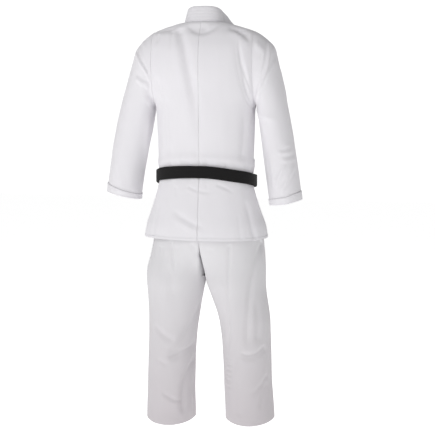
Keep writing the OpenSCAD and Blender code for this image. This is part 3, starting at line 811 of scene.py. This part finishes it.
def jacket_piece(angle, s, lift, back, mirrored, calm=1.0):
    """Grid, with its folds, of one panel of the jacket. calm is 0 where it has to lie flat."""
    base, n = body_grid(angle, s, lift)
    s = np.broadcast_to(s, base.shape[:-1])
    calm = np.broadcast_to(calm, s.shape)
    if mirrored:
        base, n, s, calm = mirror_x(base), mirror_x(n), s[:, ::-1], calm[:, ::-1]
    calm = calm * ease(from_armhole(base, s) / SEAM_CALM)
    height = calm * (folded(base, n, BACK_PATHS if back else FRONT_PATHS) + hang(base))
    height += seam_dips(base, s, back) + hem_dips(s)
    return base + height[..., None] * n, n


def back_panel(first, last, columns, rows, mirrored):
    s = np.linspace(first, last, rows)[:, None]
    angle = mix(math.pi / 2, side_angle(s), np.linspace(0, 1, columns)[None, :])
    return jacket_piece(angle, s, 0.0, True, mirrored)


def front_panel(first, last, columns, rows, mirrored):
    """Front from the side seam to under the lapel band, further under it towards the neck."""
    s = np.linspace(first, last, rows)[:, None]
    tuck = 0.014 + 0.026 * ease((2.8 - s) / 1.8)
    far = -angle_at(edge_x(s) + LAPEL_WIDTH - tuck, s)
    angle = mix(-side_angle(s), far, np.linspace(0, 1, columns)[None, :])
    x = body_surface(angle, s)[..., 0]
    lift = 0.0 if mirrored else overlap_lift(x, s)
    calm = ease((x - edge_x(s) - LAPEL_WIDTH) / 0.022)
    return jacket_piece(angle, s, lift, False, mirrored, calm)


# ---------------------------------------------------------------- sleeves


def armhole_loop(count):
    """The armhole edge of the jacket body, from its top down the back and up the front."""
    s = np.linspace(1.93, ARMHOLE_ROW - 0.04, 300)
    back = offset(body_surface, angle_at(ARM_X, s), s, CLOTH)
    front = offset(body_surface, -angle_at(ARM_X, s), s, CLOTH)
    loop = np.concatenate([back, front[::-1], back[:1]])
    walked = lengths(loop)
    return at_lengths(np.linspace(0, walked[-1], count + 1)[:-1], walked, loop)


CUFF_STITCH = 0.016                             # height of its stitching above the edge
# How the sleeves hang: towards the wearer's left, narrower and longer towards the cuff
SLEEVE_HANG = {"left": (0.010, 0.0, 0.0), "right": (0.004, 0.11, 0.019)}
SLEEVE_FOLDS = {
    "left": [
        ([(0.236, -0.090), (0.219, -0.121), (0.195, -0.158), (0.172, -0.202), (0.168, -0.245)],
         0.0042, 0.0058, 0.0028, (0.15, 0.1)),
        ([(0.234, -0.176), (0.211, -0.195), (0.176, -0.212)], 0.0070, 0.0048, 0.0015, (0.2, 0.2)),
        ([(0.216, -0.058), (0.190, -0.090)], 0.0050, 0.0034, 0.0, (0.3, 0.4)),
        ([(0.206, -0.236), (0.186, -0.268)], 0.0100, 0.0045, 0.0, (0.4, 0.1)),
        ([(0.192, -0.300), (0.207, -0.390), (0.219, -0.520)], 0.0120, 0.0065, 0.0, (0.2, 0.4)),
        ([(0.300, -0.446), (0.222, -0.450)], 0.0030, 0.0010, 0.0, (0.3, 0.3)),
        ([(0.182, -0.036), (0.175, -0.090)], 0.0050, 0.0032, 0.0, (0.2, 0.5)),
        ([(0.285, -0.480), (0.289, -0.570)], 0.0120, 0.0022, 0.0, (0.5, 0.1))],
    "right": [
        ([(-0.168, -0.286), (-0.198, -0.306), (-0.252, -0.318)], 0.0060, 0.0058, -0.002, (0.05, 0.4)),
        ([(-0.178, -0.300), (-0.196, -0.337), (-0.200, -0.374)], 0.0080, 0.0060, 0.0, (0.1, 0.4)),
        ([(-0.204, -0.050), (-0.214, -0.100), (-0.208, -0.160), (-0.186, -0.215), (-0.170, -0.268)],
         0.0060, 0.0050, 0.0016, (0.15, 0.05)),
        ([(-0.199, -0.088), (-0.198, -0.128), (-0.182, -0.189)], 0.0045, 0.0030, 0.0, (0.3, 0.3)),
        ([(-0.234, -0.115), (-0.212, -0.190), (-0.184, -0.256)], 0.0060, 0.0040, -0.0015, (0.3, 0.1)),
        ([(-0.168, -0.068), (-0.204, -0.106)], 0.0120, 0.0055, 0.0, (0.05, 0.4)),
        ([(-0.240, -0.420), (-0.265, -0.429), (-0.291, -0.418)], 0.0060, 0.0045, 0.0022, (0.3, 0.3)),
        ([(-0.250, -0.441), (-0.275, -0.453), (-0.299, -0.440)], 0.0060, 0.0045, 0.0022, (0.3, 0.3)),
        ([(-0.262, -0.406), (-0.287, -0.398)], 0.0050, 0.0030, 0.0, (0.3, 0.3)),
        ([(-0.299, -0.464), (-0.276, -0.519), (-0.250, -0.565)], 0.0060, 0.0055, 0.0028, (0.2, 0.3)),
        ([(-0.276, -0.458), (-0.252, -0.500), (-0.238, -0.548)], 0.0060, 0.0045, 0.0020, (0.2, 0.3)),
        ([(-0.218, -0.420), (-0.229, -0.492), (-0.233, -0.550)], 0.0070, 0.0050, 0.0, (0.3, 0.3)),
        ([(-0.250, -0.120), (-0.265, -0.200), (-0.276, -0.280)], 0.0120, 0.0042, 0.0, (0.3, 0.4))]}
SLEEVE_FRONT_FOLDS = [
    ([(0.230, -0.110), (0.195, -0.170), (0.172, -0.230)], 0.0065, 0.0055, 0.002, (0.2, 0.1)),
    ([(0.250, -0.200), (0.210, -0.240), (0.178, -0.262)], 0.0070, 0.0050, 0.002, (0.2, 0.1)),
    ([(0.205, -0.330), (0.240, -0.350), (0.275, -0.345)], 0.0070, 0.0048, 0.002, (0.1, 0.4)),
    ([(0.212, -0.380), (0.250, -0.405), (0.285, -0.400)], 0.0060, 0.0040, 0.0015, (0.1, 0.4)),
    ([(0.225, -0.440), (0.270, -0.500)], 0.0080, 0.0035, 0.0, (0.2, 0.4))]


def sleeve_grid(side):
    """Sleeve from the armhole edge to the cuff, its normals and its distance from the cuff."""
    columns, rows = 92, 122
    loop = armhole_loop(columns)
    angles = np.linspace(0, 2 * math.pi, 721)
    walked = lengths(sleeve_surface(angles, np.zeros(721)))
    turn = np.interp(np.linspace(0, walked[-1], columns + 1)[:-1], walked, angles)
    s = np.linspace(0, 1, rows)[:, None] ** 1.04 * CUFF_ROW
    base = sleeve_surface(turn[None, :], s)
    along_sleeve = np.concatenate([np.zeros((1, columns)),
                                   np.cumsum(np.linalg.norm(np.diff(base, axis=0), axis=-1), 0)])
    keep = 1 - ease(along_sleeve / 0.055)
    base = base + keep[..., None] * (loop - base[0])[None]
    base = base[:, ::-1]
    if side == "right":
        base = mirror_x(base)
    out, slim, longer = SLEEVE_HANG[side]
    share = ease(along_sleeve[:, ::-1] / 0.30)
    low_share = ease((along_sleeve[:, ::-1] - 0.15) / 0.33)
    middle = base[..., 0].mean(axis=1, keepdims=True)
    base[..., 0] = middle + (base[..., 0] - middle) * (1 - slim * low_share) + out * share
    base[..., 2] -= longer * low_share
    n = grid_normals(base, True)
    height = limb_folds(base, n, side, SLEEVE_FOLDS, SLEEVE_FRONT_FOLDS)
    height += 0.0011 * perlin(base, (14, 14, 4), 11) + 0.0008 * perlin(base, (36, 36, 14), 12)
    height *= ease(along_sleeve / SEAM_CALM)
    height += dip(along_sleeve, 0.0030, 0.0004)
    to_cuff = along_sleeve[-1:] - along_sleeve
    height += dip(to_cuff - CUFF_STITCH, 0.0018, 0.0004) + 0.0003 * ease((0.015 - to_cuff) / 0.003)
    return base + height[..., None] * n, n, to_cuff


# ---------------------------------------------------------------- trousers

HEM_STITCHES = (0.030, 0.022, 0.014, 0.006)     # heights of the stitching above the hem
# How the legs stand: further towards the wearer's right, and lower at the hem
LEG_STANCE = {"left": (0.005, 0.011), "right": (0.018, -0.004)}
HIP_SLACK = {"left": 0.024, "right": 0.004}     # how far the cloth sinks in beside each hip
LEG_FOLDS = {
    "left": [
        ([(0.099, -0.720), (0.094, -0.775), (0.091, -0.850)], 0.0055, 0.0068, 0.0, (0.02, 0.6)),
        ([(0.026, -0.722), (0.012, -0.765), (0.004, -0.800)], 0.0070, 0.0060, 0.0, (0.05, 0.2)),
        ([(0.112, -0.790), (0.105, -0.860), (0.104, -0.940)], 0.0140, 0.0042, 0.0, (0.3, 0.4)),
        ([(0.014, -0.900), (0.034, -0.975), (0.062, -1.040), (0.092, -1.092), (0.124, -1.120)],
         0.0190, 0.0105, 0.0020, (0.3, 0.12)),
        ([(0.127, -1.122), (0.100, -1.114), (0.070, -1.098), (0.022, -1.072)],
         0.0065, 0.0085, -0.0040, (0.12, 0.15)),
        ([(0.172, -1.008), (0.137, -1.041), (0.089, -1.072)], 0.0110, 0.0045, 0.0, (0.2, 0.3)),
        ([(0.030, -1.115), (0.054, -1.155), (0.070, -1.205), (0.077, -1.270), (0.075, -1.330)],
         0.0110, 0.0098, 0.0030, (0.2, 0.15)),
        ([(0.146, -1.236), (0.112, -1.267), (0.068, -1.281)], 0.0070, 0.0035, 0.0012, (0.3, 0.3)),
        ([(0.030, -1.190), (0.048, -1.250), (0.050, -1.335)], 0.0075, 0.0050, 0.0, (0.3, 0.1)),
        ([(0.140, -0.735), (0.146, -0.830)], 0.0100, 0.0032, 0.0, (0.05, 0.6)),
        ([(0.160, -1.130), (0.120, -1.150)], 0.0080, 0.0030, 0.0, (0.3, 0.3))],
    "right": [
        ([(-0.097, -0.722), (-0.094, -0.830), (-0.091, -0.930), (-0.090, -1.030), (-0.083, -1.085)],
         0.0052, 0.0058, 0.0, (0.02, 0.15)),
        ([(-0.190, -0.722), (-0.174, -0.800), (-0.160, -0.896), (-0.153, -0.998), (-0.150, -1.085)],
         0.0120, 0.0095, -0.0028, (0.03, 0.15)),
        ([(-0.175, -0.900), (-0.186, -0.980), (-0.180, -1.070)], 0.0150, 0.0055, 0.0, (0.3, 0.2)),
        ([(-0.124, -1.090), (-0.166, -1.100), (-0.207, -1.074)], 0.0065, 0.0070, -0.0035, (0.3, 0.1)),
        ([(-0.212, -1.170), (-0.194, -1.210), (-0.158, -1.246)], 0.0080, 0.0055, 0.0018, (0.15, 0.4)),
        ([(-0.213, -1.195), (-0.203, -1.235), (-0.193, -1.300)], 0.0075, 0.0048, 0.0, (0.2, 0.3)),
        ([(-0.020, -0.745), (-0.045, -0.752)], 0.0080, 0.0022, 0.0, (0.3, 0.4)),
        ([(-0.120, -1.150), (-0.126, -1.320)], 0.0140, 0.0032, 0.0, (0.3, 0.1)),
        *[([(-0.076, start), (reach, finish)], 0.0038, 0.0036, 0.0, (0.1, 0.4))
          for start, reach, finish in ((-1.120, -0.104, -1.122), (-1.138, -0.102, -1.141),
                                       (-1.156, -0.104, -1.158), (-1.176, -0.100, -1.179),
                                       (-1.195, -0.102, -1.197), (-1.216, -0.098, -1.219))]]}
LEG_FRONT_FOLDS = [
    ([(0.095, -0.740), (0.098, -0.860), (0.105, -0.980)], 0.0080, 0.0045, 0.0, (0.05, 0.4)),
    ([(0.055, -0.740), (0.035, -0.830)], 0.0070, 0.0045, 0.0, (0.05, 0.3)),
    ([(0.160, -0.760), (0.150, -0.900), (0.152, -1.020)], 0.0110, 0.0055, 0.002, (0.1, 0.3)),
    ([(0.050, -1.020), (0.100, -1.050), (0.160, -1.035)], 0.0090, 0.0050, 0.002, (0.2, 0.3)),
    ([(0.070, -1.100), (0.120, -1.120), (0.175, -1.090)], 0.0070, 0.0045, 0.002, (0.2, 0.3)),
    ([(0.110, -1.150), (0.120, -1.230), (0.116, -1.330)], 0.0120, 0.0060, 0.0, (0.3, 0.1)),
    ([(0.165, -1.180), (0.172, -1.330)], 0.0100, 0.0045, 0.0, (0.3, 0.1))]


def leg_grid(side):
    """Leg from the seat to the hem, its normals and its height above the hem."""
    columns, rows = 112, 128
    c = np.linspace(0, 1, columns, endpoint=False)[None, :]
    s = np.linspace(0, LEG_END, rows * 3)
    drop = along(LEG_ROWS, s)[:, 0]
    s = np.interp(np.linspace(drop[0], drop[-1], rows), drop, s)[:, None]
    base = leg_surface(c + 0 * s, s + 0 * c, HIP_SLACK[side])[:, ::-1]
    if side == "right":
        base = mirror_x(base)
    drop = -base[..., 2]
    aside, lower = LEG_STANCE[side]
    base[..., 0] -= aside * ease((drop - 0.85) / 0.16) + 0.003 * ease((drop - 1.20) / 0.15)
    base[..., 2] -= lower * ease((drop - 0.90) / 0.45)
    base[..., 2] += 0.012 * ease((drop - 1.22) / 0.13) * (1 - np.clip(base[..., 1] / 0.083, -1, 1) ** 2)
    n = grid_normals(base, True)
    height = limb_folds(base, n, side, LEG_FOLDS, LEG_FRONT_FOLDS)
    rough = 0.0014 * perlin(base, (11, 11, 4), 21) + 0.0009 * perlin(base, (30, 30, 12), 22)
    height += rough * ease((-base[..., 2] - SEAT_END) / 0.03)
    up = TROUSER_END + lower + base[..., 2]
    for stitched in HEM_STITCHES:
        height += dip(up - stitched, 0.0016, 0.0004)
    inner = ease((0.004 - np.abs(base[..., 0])) / 0.003) * ease((0.85 + base[..., 2]) / 0.02)
    base = base + (height * (1 - inner))[..., None] * n
    return base, n, up


# ---------------------------------------------------------------- the cloth pieces

STITCH_LIFT = 0.0002                            # of stitches off the cloth
FACING_INSET = 0.0022                           # of a turned-in band behind the outer face
SLEEVE_BEND = 0.032                             # span out from the armhole seam, passed with each sleeve to bending()
LEG_BEND = (-0.735, -0.83)                      # two heights on a leg, passed with it to bending()
# Two points under each skirt flap's hinge, passed with it to bending()
FLAP_BENDS = {"back_skirt": ((0, 0.108, BACK_HINGE), (0, 0.108, BACK_HINGE - 0.038)),
              "front_skirt": ((0, -0.118, FRONT_HINGE), (0, -0.118, FRONT_HINGE - 0.039))}
GATHERS = 46                                    # round the whole waist
thread_lines = {}


def keep_line(body, points, normals):
    thread_lines.setdefault(body, []).append((points, normals))


def bending(obj, fixed, moving, node, start, end):
    """Piece with its placement baked into its mesh, which stands in for a frame node."""
    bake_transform(obj)
    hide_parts(node)


def turned_in(limb, name, grid, n, to_edge, width, cotton_of):
    """Band of cloth turned in at the end of a sleeve or a leg."""
    inside = (grid - FACING_INSET * n)[to_edge.mean(axis=1) < width]
    band = cloth_grid(name, inside, True, LINING_THICK)
    worn(cotton_of(band), limb, name)


def stitched_ring(limb, grid, n, to_edge, distance):
    """Row of stitches round a sleeve or a leg, at a distance from its edge."""
    row = int(np.argmin(np.abs(to_edge[:, 0] - distance)))
    ring, out = (np.concatenate([a[row], a[row, :1]]) for a in (grid, n))
    keep_line(limb, ring + STITCH_LIFT * out, out)


def jacket_half(name, grid):
    piece = cloth_grid(name, grid, False)
    worn(jacket_cotton(piece), "jacket", name)


def sleeve(side, sign):
    name = "sleeve_" + side
    grid, n, to_cuff = sleeve_grid(side)
    piece = jacket_cotton(cloth_grid(name, grid, True))
    seam, beyond = (sign * ARM_X, 0, -0.2), (sign * (ARM_X + SLEEVE_BEND), 0, -0.2)
    bending(piece, "jacket", name, name, seam, beyond)
    turned_in(name, "cuff_facing_" + side, grid, n, to_cuff, 0.026, jacket_cotton)
    stitched_ring(name, grid, n, to_cuff, CUFF_STITCH)


def skirt_flap(flap, side, grid, n, flat):
    piece = jacket_cotton(cloth_grid(flap + "_" + side, grid, False))
    bending(piece, "jacket", flap, flap + "_" + side, *FLAP_BENDS[flap])
    keep_line(flap, grid[-4] + STITCH_LIFT * n[-4], n[-4])


def seat(side):
    """Half of the seat, gathered at the waist and sunk in beside the hip."""
    turn = np.linspace(math.pi / 2, -math.pi / 2, 66)[None, :]
    s = np.linspace(0, len(SEAT_ROWS) - 1, 60)[:, None]
    base = offset(seat_surface, turn, s, CLOTH)
    sunk = HIP_SLACK[side] / (HIP_HALF + CLOTH) * ease((0.110 - SEAT_END - base[..., 2]) / 0.110)
    base[..., 0] *= 1 - sunk
    gathers = 0.0016 * np.cos(turn * GATHERS) * ease((0.56 + base[..., 2]) / 0.08)
    base = base + gathers[..., None] * grid_normals(base, False)
    piece = cloth_grid("seat_" + side, mirror_x(base) if side == "right" else base, False)
    worn(trouser_cotton(piece), "trousers", "seat_" + side)


def leg(side):
    name = "leg_" + side
    grid, n, up = leg_grid(side)
    piece = trouser_cotton(cloth_grid(name, grid, True))
    bending(piece, "trousers", name, name, (0, 0, LEG_BEND[0]), (0, 0, LEG_BEND[1]))
    turned_in(name, "leg_facing_" + side, grid, n, up, 0.034, trouser_cotton)
    for stitched in HEM_STITCHES:
        stitched_ring(name, grid, n, up, stitched)


def waistband():
    turn = np.linspace(2 * math.pi, 0, 260, endpoint=False)[None, :]
    s = np.linspace(0.02, 0.62, 30)[:, None]
    base = offset(seat_surface, turn, s, -0.0018)
    ribs = 0.0007 * np.cos(s * 2 * math.pi / 0.15) + 0.0009 * np.cos(turn * GATHERS)
    piece = cloth_grid("waistband", base + ribs[..., None] * grid_normals(base, True), True, 0.0016)
    worn(trouser_cotton(piece), "trousers", "waistband")


def crotch_gusset():
    half_length = 0.046
    x = np.linspace(-0.0025, 0.0025, 5)[None, :]
    y = np.linspace(half_length, -half_length, 40)[:, None]
    sag = -CROTCH_DROP + 0.0186 - 0.0012 * np.cos(y / half_length * math.pi / 2) + 0.0003 * np.sin(y * 260)
    strip = np.stack([x + 0 * y, y + 0 * x, sag + 0 * x], -1)
    piece = cloth_grid("crotch_gusset", strip, False, LINING_THICK, rounded=False)
    worn(trouser_cotton(piece), "trousers", "crotch_gusset")


for side, sign in SIDES:
    mirrored = side == "right"
    jacket_half("back_" + side, back_panel(0.0, SPLIT_ROW, 52, 126, mirrored)[0])
    jacket_half("front_" + side, front_panel(0.0, SPLIT_ROW, 54, 128, mirrored)[0])
    sleeve(side, sign)
    skirt_flap("back_skirt", side, *back_panel(SPLIT_ROW, HEM_ROW, 52, 50, mirrored), (0.25, 0.215))
    skirt_flap("front_skirt", side, *front_panel(SPLIT_ROW, HEM_ROW, 54, 50, mirrored), (0.27, 0.19))
    seat(side)
    leg(side)
waistband()
crotch_gusset()

# ---------------------------------------------------------------- belt


def belt_lift(angle):
    return CLOTH + 0.0018 + (WRAP_LIFT + LAPEL_THICK) * ease(0.12 - np.sin(angle) * 1.15)


def belt_sag(p):
    """How far the belt has slipped down on the wearer's right, behind."""
    return 0.0075 * ease((-p[..., 0] - 0.01) / 0.13) * ease((p[..., 1] + 0.05) / 0.08)


def belt_wrap(name, layer):
    columns = 250
    turn = np.linspace(2 * math.pi, 0, columns, endpoint=False)
    middle = offset(body_surface, turn, BELT_ROW + 0 * turn,
                    belt_lift(turn) + BELT_THICK / 2 + layer * (BELT_THICK + 0.0006) - 0.0006)
    middle[:, 2] += (1 - 2 * layer) * 0.0007 * np.sin(2 * turn + 0.6) - layer * 0.0006 - belt_sag(middle)
    up, out = upright_frames(middle, closed=True)
    wrap = strap(name, middle, up, out, BELT_WIDTH / 2, BELT_THICK, ribs=9, closed=True)
    worn(belt_cotton(wrap), "jacket", name)


belt_wrap("belt_inner_wrap", 0)
belt_wrap("belt_outer_wrap", 1)

# ---------------------------------------------------------------- collar and lapels

BAND_ROWS = 5                                   # rows of stitching along the band


def lapel_lines(s, sign):
    """Seam line and free edge of a lapel at jacket rows s."""
    lines = []
    for x in (edge_x(s) + LAPEL_WIDTH, edge_x(s)):
        lift = overlap_lift(x, s) if sign > 0 else 0 * s
        lines.append(offset(body_surface, -angle_at(x, s), s, lift) * (sign, 1, 1))
    return np.concatenate(lines, 1)


def collar_lines(turn):
    """Seam line and top edge of the collar at angles round the neck."""
    lines = []
    for lean, height in ((0.0, -0.010), (0.012, COLLAR_HEIGHT - 0.003)):
        y = 0.002 + (NECK_DEPTH - 0.001 - lean) * power(np.sin(turn), 0.74)
        droop = (0.004 if lean else 0.0) * np.cos(turn) ** 4
        lines.append(np.stack([(NECK_HALF - 0.001 - lean) * power(np.cos(turn), 0.74), y,
                               NECK_SLOPE * y + height - droop], -1))
    return np.concatenate(lines, 1)


def stitched_band(name, lines, count, body, marks_up):
    """Band several layers thick between a seam line and a free edge, with rows of stitching."""
    lines = smooth_path(lines, count)
    seam_line, edge = lines[:, :3], lines[:, 3:]
    across = unit(edge - seam_line)
    half = np.linalg.norm(edge - seam_line, axis=1) / 2
    ahead = unit(np.gradient((seam_line + edge) / 2, axis=0))
    out = unit(np.cross(ahead, across))
    if np.sum(out[count // 2] * marks_up) < 0:
        out = -out
    middle = (seam_line + edge) / 2 + out * LAPEL_THICK / 2
    ripple = 0.0007 * perlin(middle, 24, 31)
    middle = middle + ripple[:, None] * out
    relief, crown = 0.0006, 0.0006
    band = strap(name, middle, across, out, half, LAPEL_THICK,
                 ribs=BAND_ROWS, rib_height=relief, crown=crown)
    for row in range(BAND_ROWS):
        a = (2 * row + 1) / BAND_ROWS - 1
        line = middle + across * (half * a)[:, None]
        keep_line(body, line + out * (LAPEL_THICK / 2 - relief + crown * (1 - a * a)), out)
    return jacket_cotton(band)


down_left = lapel_lines(np.linspace(2.6, SPLIT_ROW, 19), 1)
down_right = lapel_lines(np.linspace(2.6, SPLIT_ROW, 19), -1)
turning = np.array([(0.084, -0.036, -0.012, 0.063, -0.044, 0.018),
                    (0.098, -0.064, -0.022, 0.067, -0.071, -0.010)])
round_neck = collar_lines(np.radians(np.linspace(182, -2, 15)))
to_right = turning[::-1] * (-1, 1, 1, -1, 1, 1)
whole = np.concatenate([down_right[::-1], to_right, round_neck, turning, down_left])
band = stitched_band("collar_and_lapels", whole, 420, "jacket", np.array((0, 1, 0)))
worn(band, "jacket", "collar", "lapel_left", "lapel_right")

for side, sign in SIDES:
    ends = lapel_lines(np.linspace(SPLIT_ROW, HEM_ROW, 12), sign)
    end = stitched_band("lapel_end_" + side, ends, 70, "front_skirt", np.array((0, -1, 0)))
    bending(end, "jacket", "front_skirt", "lapel_end_" + side, *FLAP_BENDS["front_skirt"])

# ---------------------------------------------------------------- linings and tapes


def lining(name, node, body, turn, s, back, mirrored, deeper=0.0008, thick=LINING_THICK):
    """Second layer of cloth inside a panel of the jacket, following its folds."""
    grid, n = jacket_piece(turn, s, 0.0, back, mirrored)
    piece = cloth_grid(name, grid - (JACKET_THICK + deeper) * n, False, thick)
    worn(jacket_cotton(piece), body, node)


def columns_and_rows(start, finish, columns, first, last, rows):
    """Angles, from degrees, and jacket rows of a grid."""
    return (np.radians(np.linspace(start, finish, columns))[None, :] + np.zeros((rows, 1)),
            np.linspace(first, last, rows)[:, None])


turn, s = columns_and_rows(136, 44, 90, 0.6, 5, 50)
lining("shoulder_yoke", "shoulder_yoke", "jacket", turn, s, True, False)
for side, sign in SIDES:
    turn, s = columns_and_rows(26, -26, 26, 7.1, 7.9, 16)
    turn = turn * (1 - 0.8 * (s - 7.1) / 0.8)
    lining("underarm_gusset_" + side, "underarm_gussets", "jacket", turn, s, True, sign < 0,
           0.0035)
    turn, s = columns_and_rows(14, 1, 10, 11.3, 11.9, 12)
    lining("vent_patch_" + side, "vent_patches", "back_skirt", turn, s, True, sign < 0)
turn, s = columns_and_rows(-2, -48, 34, 9.3, 9.7, 10)
lining("inner_tie", "inner_tie", "jacket", turn, s, False, False, 0.0016, 0.0012)

TIE_ROW = 9.5
TIE_KNOT_ANGLE = math.radians(-142)
TIE_THICK = 0.0016


def tape(name, start, finish, first_lift, last_lift, knot_end):
    """Flat tape round the right front. knot_end is 0 or 1, for the end that is narrowed by the knot."""
    share = np.linspace(0, 1, 34)
    lift = mix(first_lift, last_lift, share) + TIE_THICK / 2
    path = offset(body_surface, np.radians(mix(start, finish, share)), TIE_ROW + 0 * share, lift)
    path[:, 2] -= 0.004 * np.sin(math.pi * share)
    up, out = upright_frames(path)
    half = 0.012 * (1 - 0.30 * np.exp(-((share - knot_end) / 0.25) ** 2))
    piece = strap(name, path, up, out, half, TIE_THICK)
    worn(jacket_cotton(piece), "jacket", name)
    for a in (-0.8, 0.8):
        keep_line("jacket", path + up * (half * a)[:, None] + out * TIE_THICK * 0.45, out)


tape("outer_tie_front", -118, -137.5, 0.0131, 0.0075, 1)
tape("outer_tie_side", -146.5, -178, 0.0075, 0.0040, 0)


KNOT_SLANT = 0.38                               # radians


def knotted(name, centre, frame, scale, material, ribs):
    """Flat knot: a band across, and a slanting band round it. frame is across, out and up."""
    def place(points):
        return centre + (np.asarray(points, float) * scale) @ frame

    right, up = np.array((1.0, 0, 0)), np.array((0, 0, 1.0))
    across_path = smooth_path([(-31, -9, -2), (-25, -2, -1), (-13, 3, 0), (0, 4, 0), (13, 3, 0),
                               (25, -2, 1), (31, -9, 2)], 44)
    half = 15.5 + 3.0 * np.abs(np.linspace(-1, 1, 44)) ** 1.5
    out = unit(np.cross(unit(np.gradient(across_path, axis=0)), up))
    out = np.where(out[:, 1:2] < 0, -out, out)
    pieces = [strap(name + "_across", place(across_path), up @ frame + 0 * across_path, out @ frame,
                    half * scale, 4.2 * scale, ribs=ribs, crown=1.5 * scale)]
    round_path = smooth_path([(0, -9, 17), (0, -3, 22), (0, 5, 20.5), (0, 9.5, 12), (0, 10.5, 0),
                              (0, 9.5, -12), (0, 5, -20.5), (0, -3, -22), (0, -9, -17)], 70)
    c, d = math.cos(KNOT_SLANT), math.sin(KNOT_SLANT)
    slant = np.array(((c, 0, d), (0, 1, 0), (-d, 0, c)))
    out = unit(np.cross(unit(np.gradient(round_path, axis=0)), right))
    out = np.where(np.sum(out * round_path, -1, keepdims=True) < 0, -out, out)
    half = 17.5 - 2.5 * np.cos(np.linspace(0, 2 * math.pi, 70))
    pieces.append(strap(name + "_over", place(round_path @ slant), right @ slant @ frame + 0 * round_path,
                        out @ slant @ frame, half * scale, 4.2 * scale, ribs=ribs, crown=1.8 * scale))
    for piece in pieces:
        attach(paint(piece, material), "jacket")
    return pieces


tie_centre = offset(body_surface, TIE_KNOT_ANGLE, TIE_ROW, 0.009)
tie_out = unit(tie_centre * (1, 1, 0))
tie_frame = np.array((np.cross(tie_out, (0, 0, 1.0)), tie_out, (0, 0, 1.0)))
for piece in knotted("outer_tie_knot", tie_centre, tie_frame, 0.00036, JACKET, 0):
    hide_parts("outer_tie_knot")

# ---------------------------------------------------------------- knot and belt ends

KNOT_CENTRE = (np.array(KNOT_LOW) + np.array(KNOT_HIGH)) / 2
FRONT_FRAME = np.array(((1.0, 0, 0), (0, -1.0, 0), (0, 0, 1.0)))
TAIL_LENGTH = 0.185
TAIL_SPLAY, TAIL_LEAN = math.radians(20), math.radians(8)
PIVOT = np.array((0.018, -0.14415, -0.5686))    # of the left belt end
END_STITCHES = (0.003, 0.008, 0.013)            # their distances from a belt end

for piece in knotted("belt_knot", KNOT_CENTRE, FRONT_FRAME, 0.001, BELT, 9):
    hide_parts("belt_knot")


def belt_end(side, sign):
    """Hanging end of the belt and its root under the knot, built on the left and flipped for the right."""
    flip = np.array((sign, 1, 1))
    ahead = np.array((math.sin(TAIL_SPLAY) * math.cos(TAIL_LEAN), -math.sin(TAIL_LEAN),
                      -math.cos(TAIL_SPLAY) * math.cos(TAIL_LEAN)))
    across = np.array((math.cos(TAIL_SPLAY), 0, math.sin(TAIL_SPLAY)))
    out = np.cross(across, ahead)
    out = -out if out[1] > 0 else out
    share = np.linspace(0, 1, 90)[:, None]
    wave = 0.0022 * np.sin(share * 5.0 + sign) * ease(share * 4)
    path = PIVOT + ahead * (share * TAIL_LENGTH) + out * wave + across * 0.003 * share ** 2
    path = path + out * 0.0008 * sign
    twist = 0.10 * sign * share
    wide = unit(across * np.cos(twist) + out * np.sin(twist))
    face = unit(out * np.cos(twist) - across * np.sin(twist))
    name = "belt_tail_" + side
    tail = strap(name, path * flip, wide * flip, face * flip, BELT_WIDTH / 2, BELT_THICK, ribs=9)
    worn(belt_cotton(tail), name, name)
    for back_from_end in END_STITCHES:
        at = path[-1] - ahead * back_from_end + face[-1] * BELT_THICK * 0.42
        line = np.array([at + wide[-1] * a * 0.018 for a in np.linspace(-1, 1, 12)])
        keep_line(name, line * flip, face[-1] * flip + 0 * line)
    root = np.array([(2, 0.5 + 2.5 * sign, -4), (8, 2.5 + 2.0 * sign, -12), (14, 3.5 + sign, -20),
                     (18, 1.6, -28)])
    root = smooth_path(KNOT_CENTRE + (root * 0.001) @ FRONT_FRAME, 24)
    root = np.concatenate([root, root[-1:] + ahead * 0.003])
    start = strap("belt_end_root_" + side, root * flip, across * flip + 0 * root, out * flip + 0 * root,
                  BELT_WIDTH / 2 - 0.0006, BELT_THICK, ribs=9)
    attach(belt_cotton(start), "jacket")


for side, sign in SIDES:
    belt_end(side, sign)

for body, lines in thread_lines.items():
    rows = stitches("stitching_" + body, lines)
    if body.startswith("belt"):
        paint(rows, BELT_THREAD)
    else:
        paint(rows, THREAD)
    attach(rows, body)
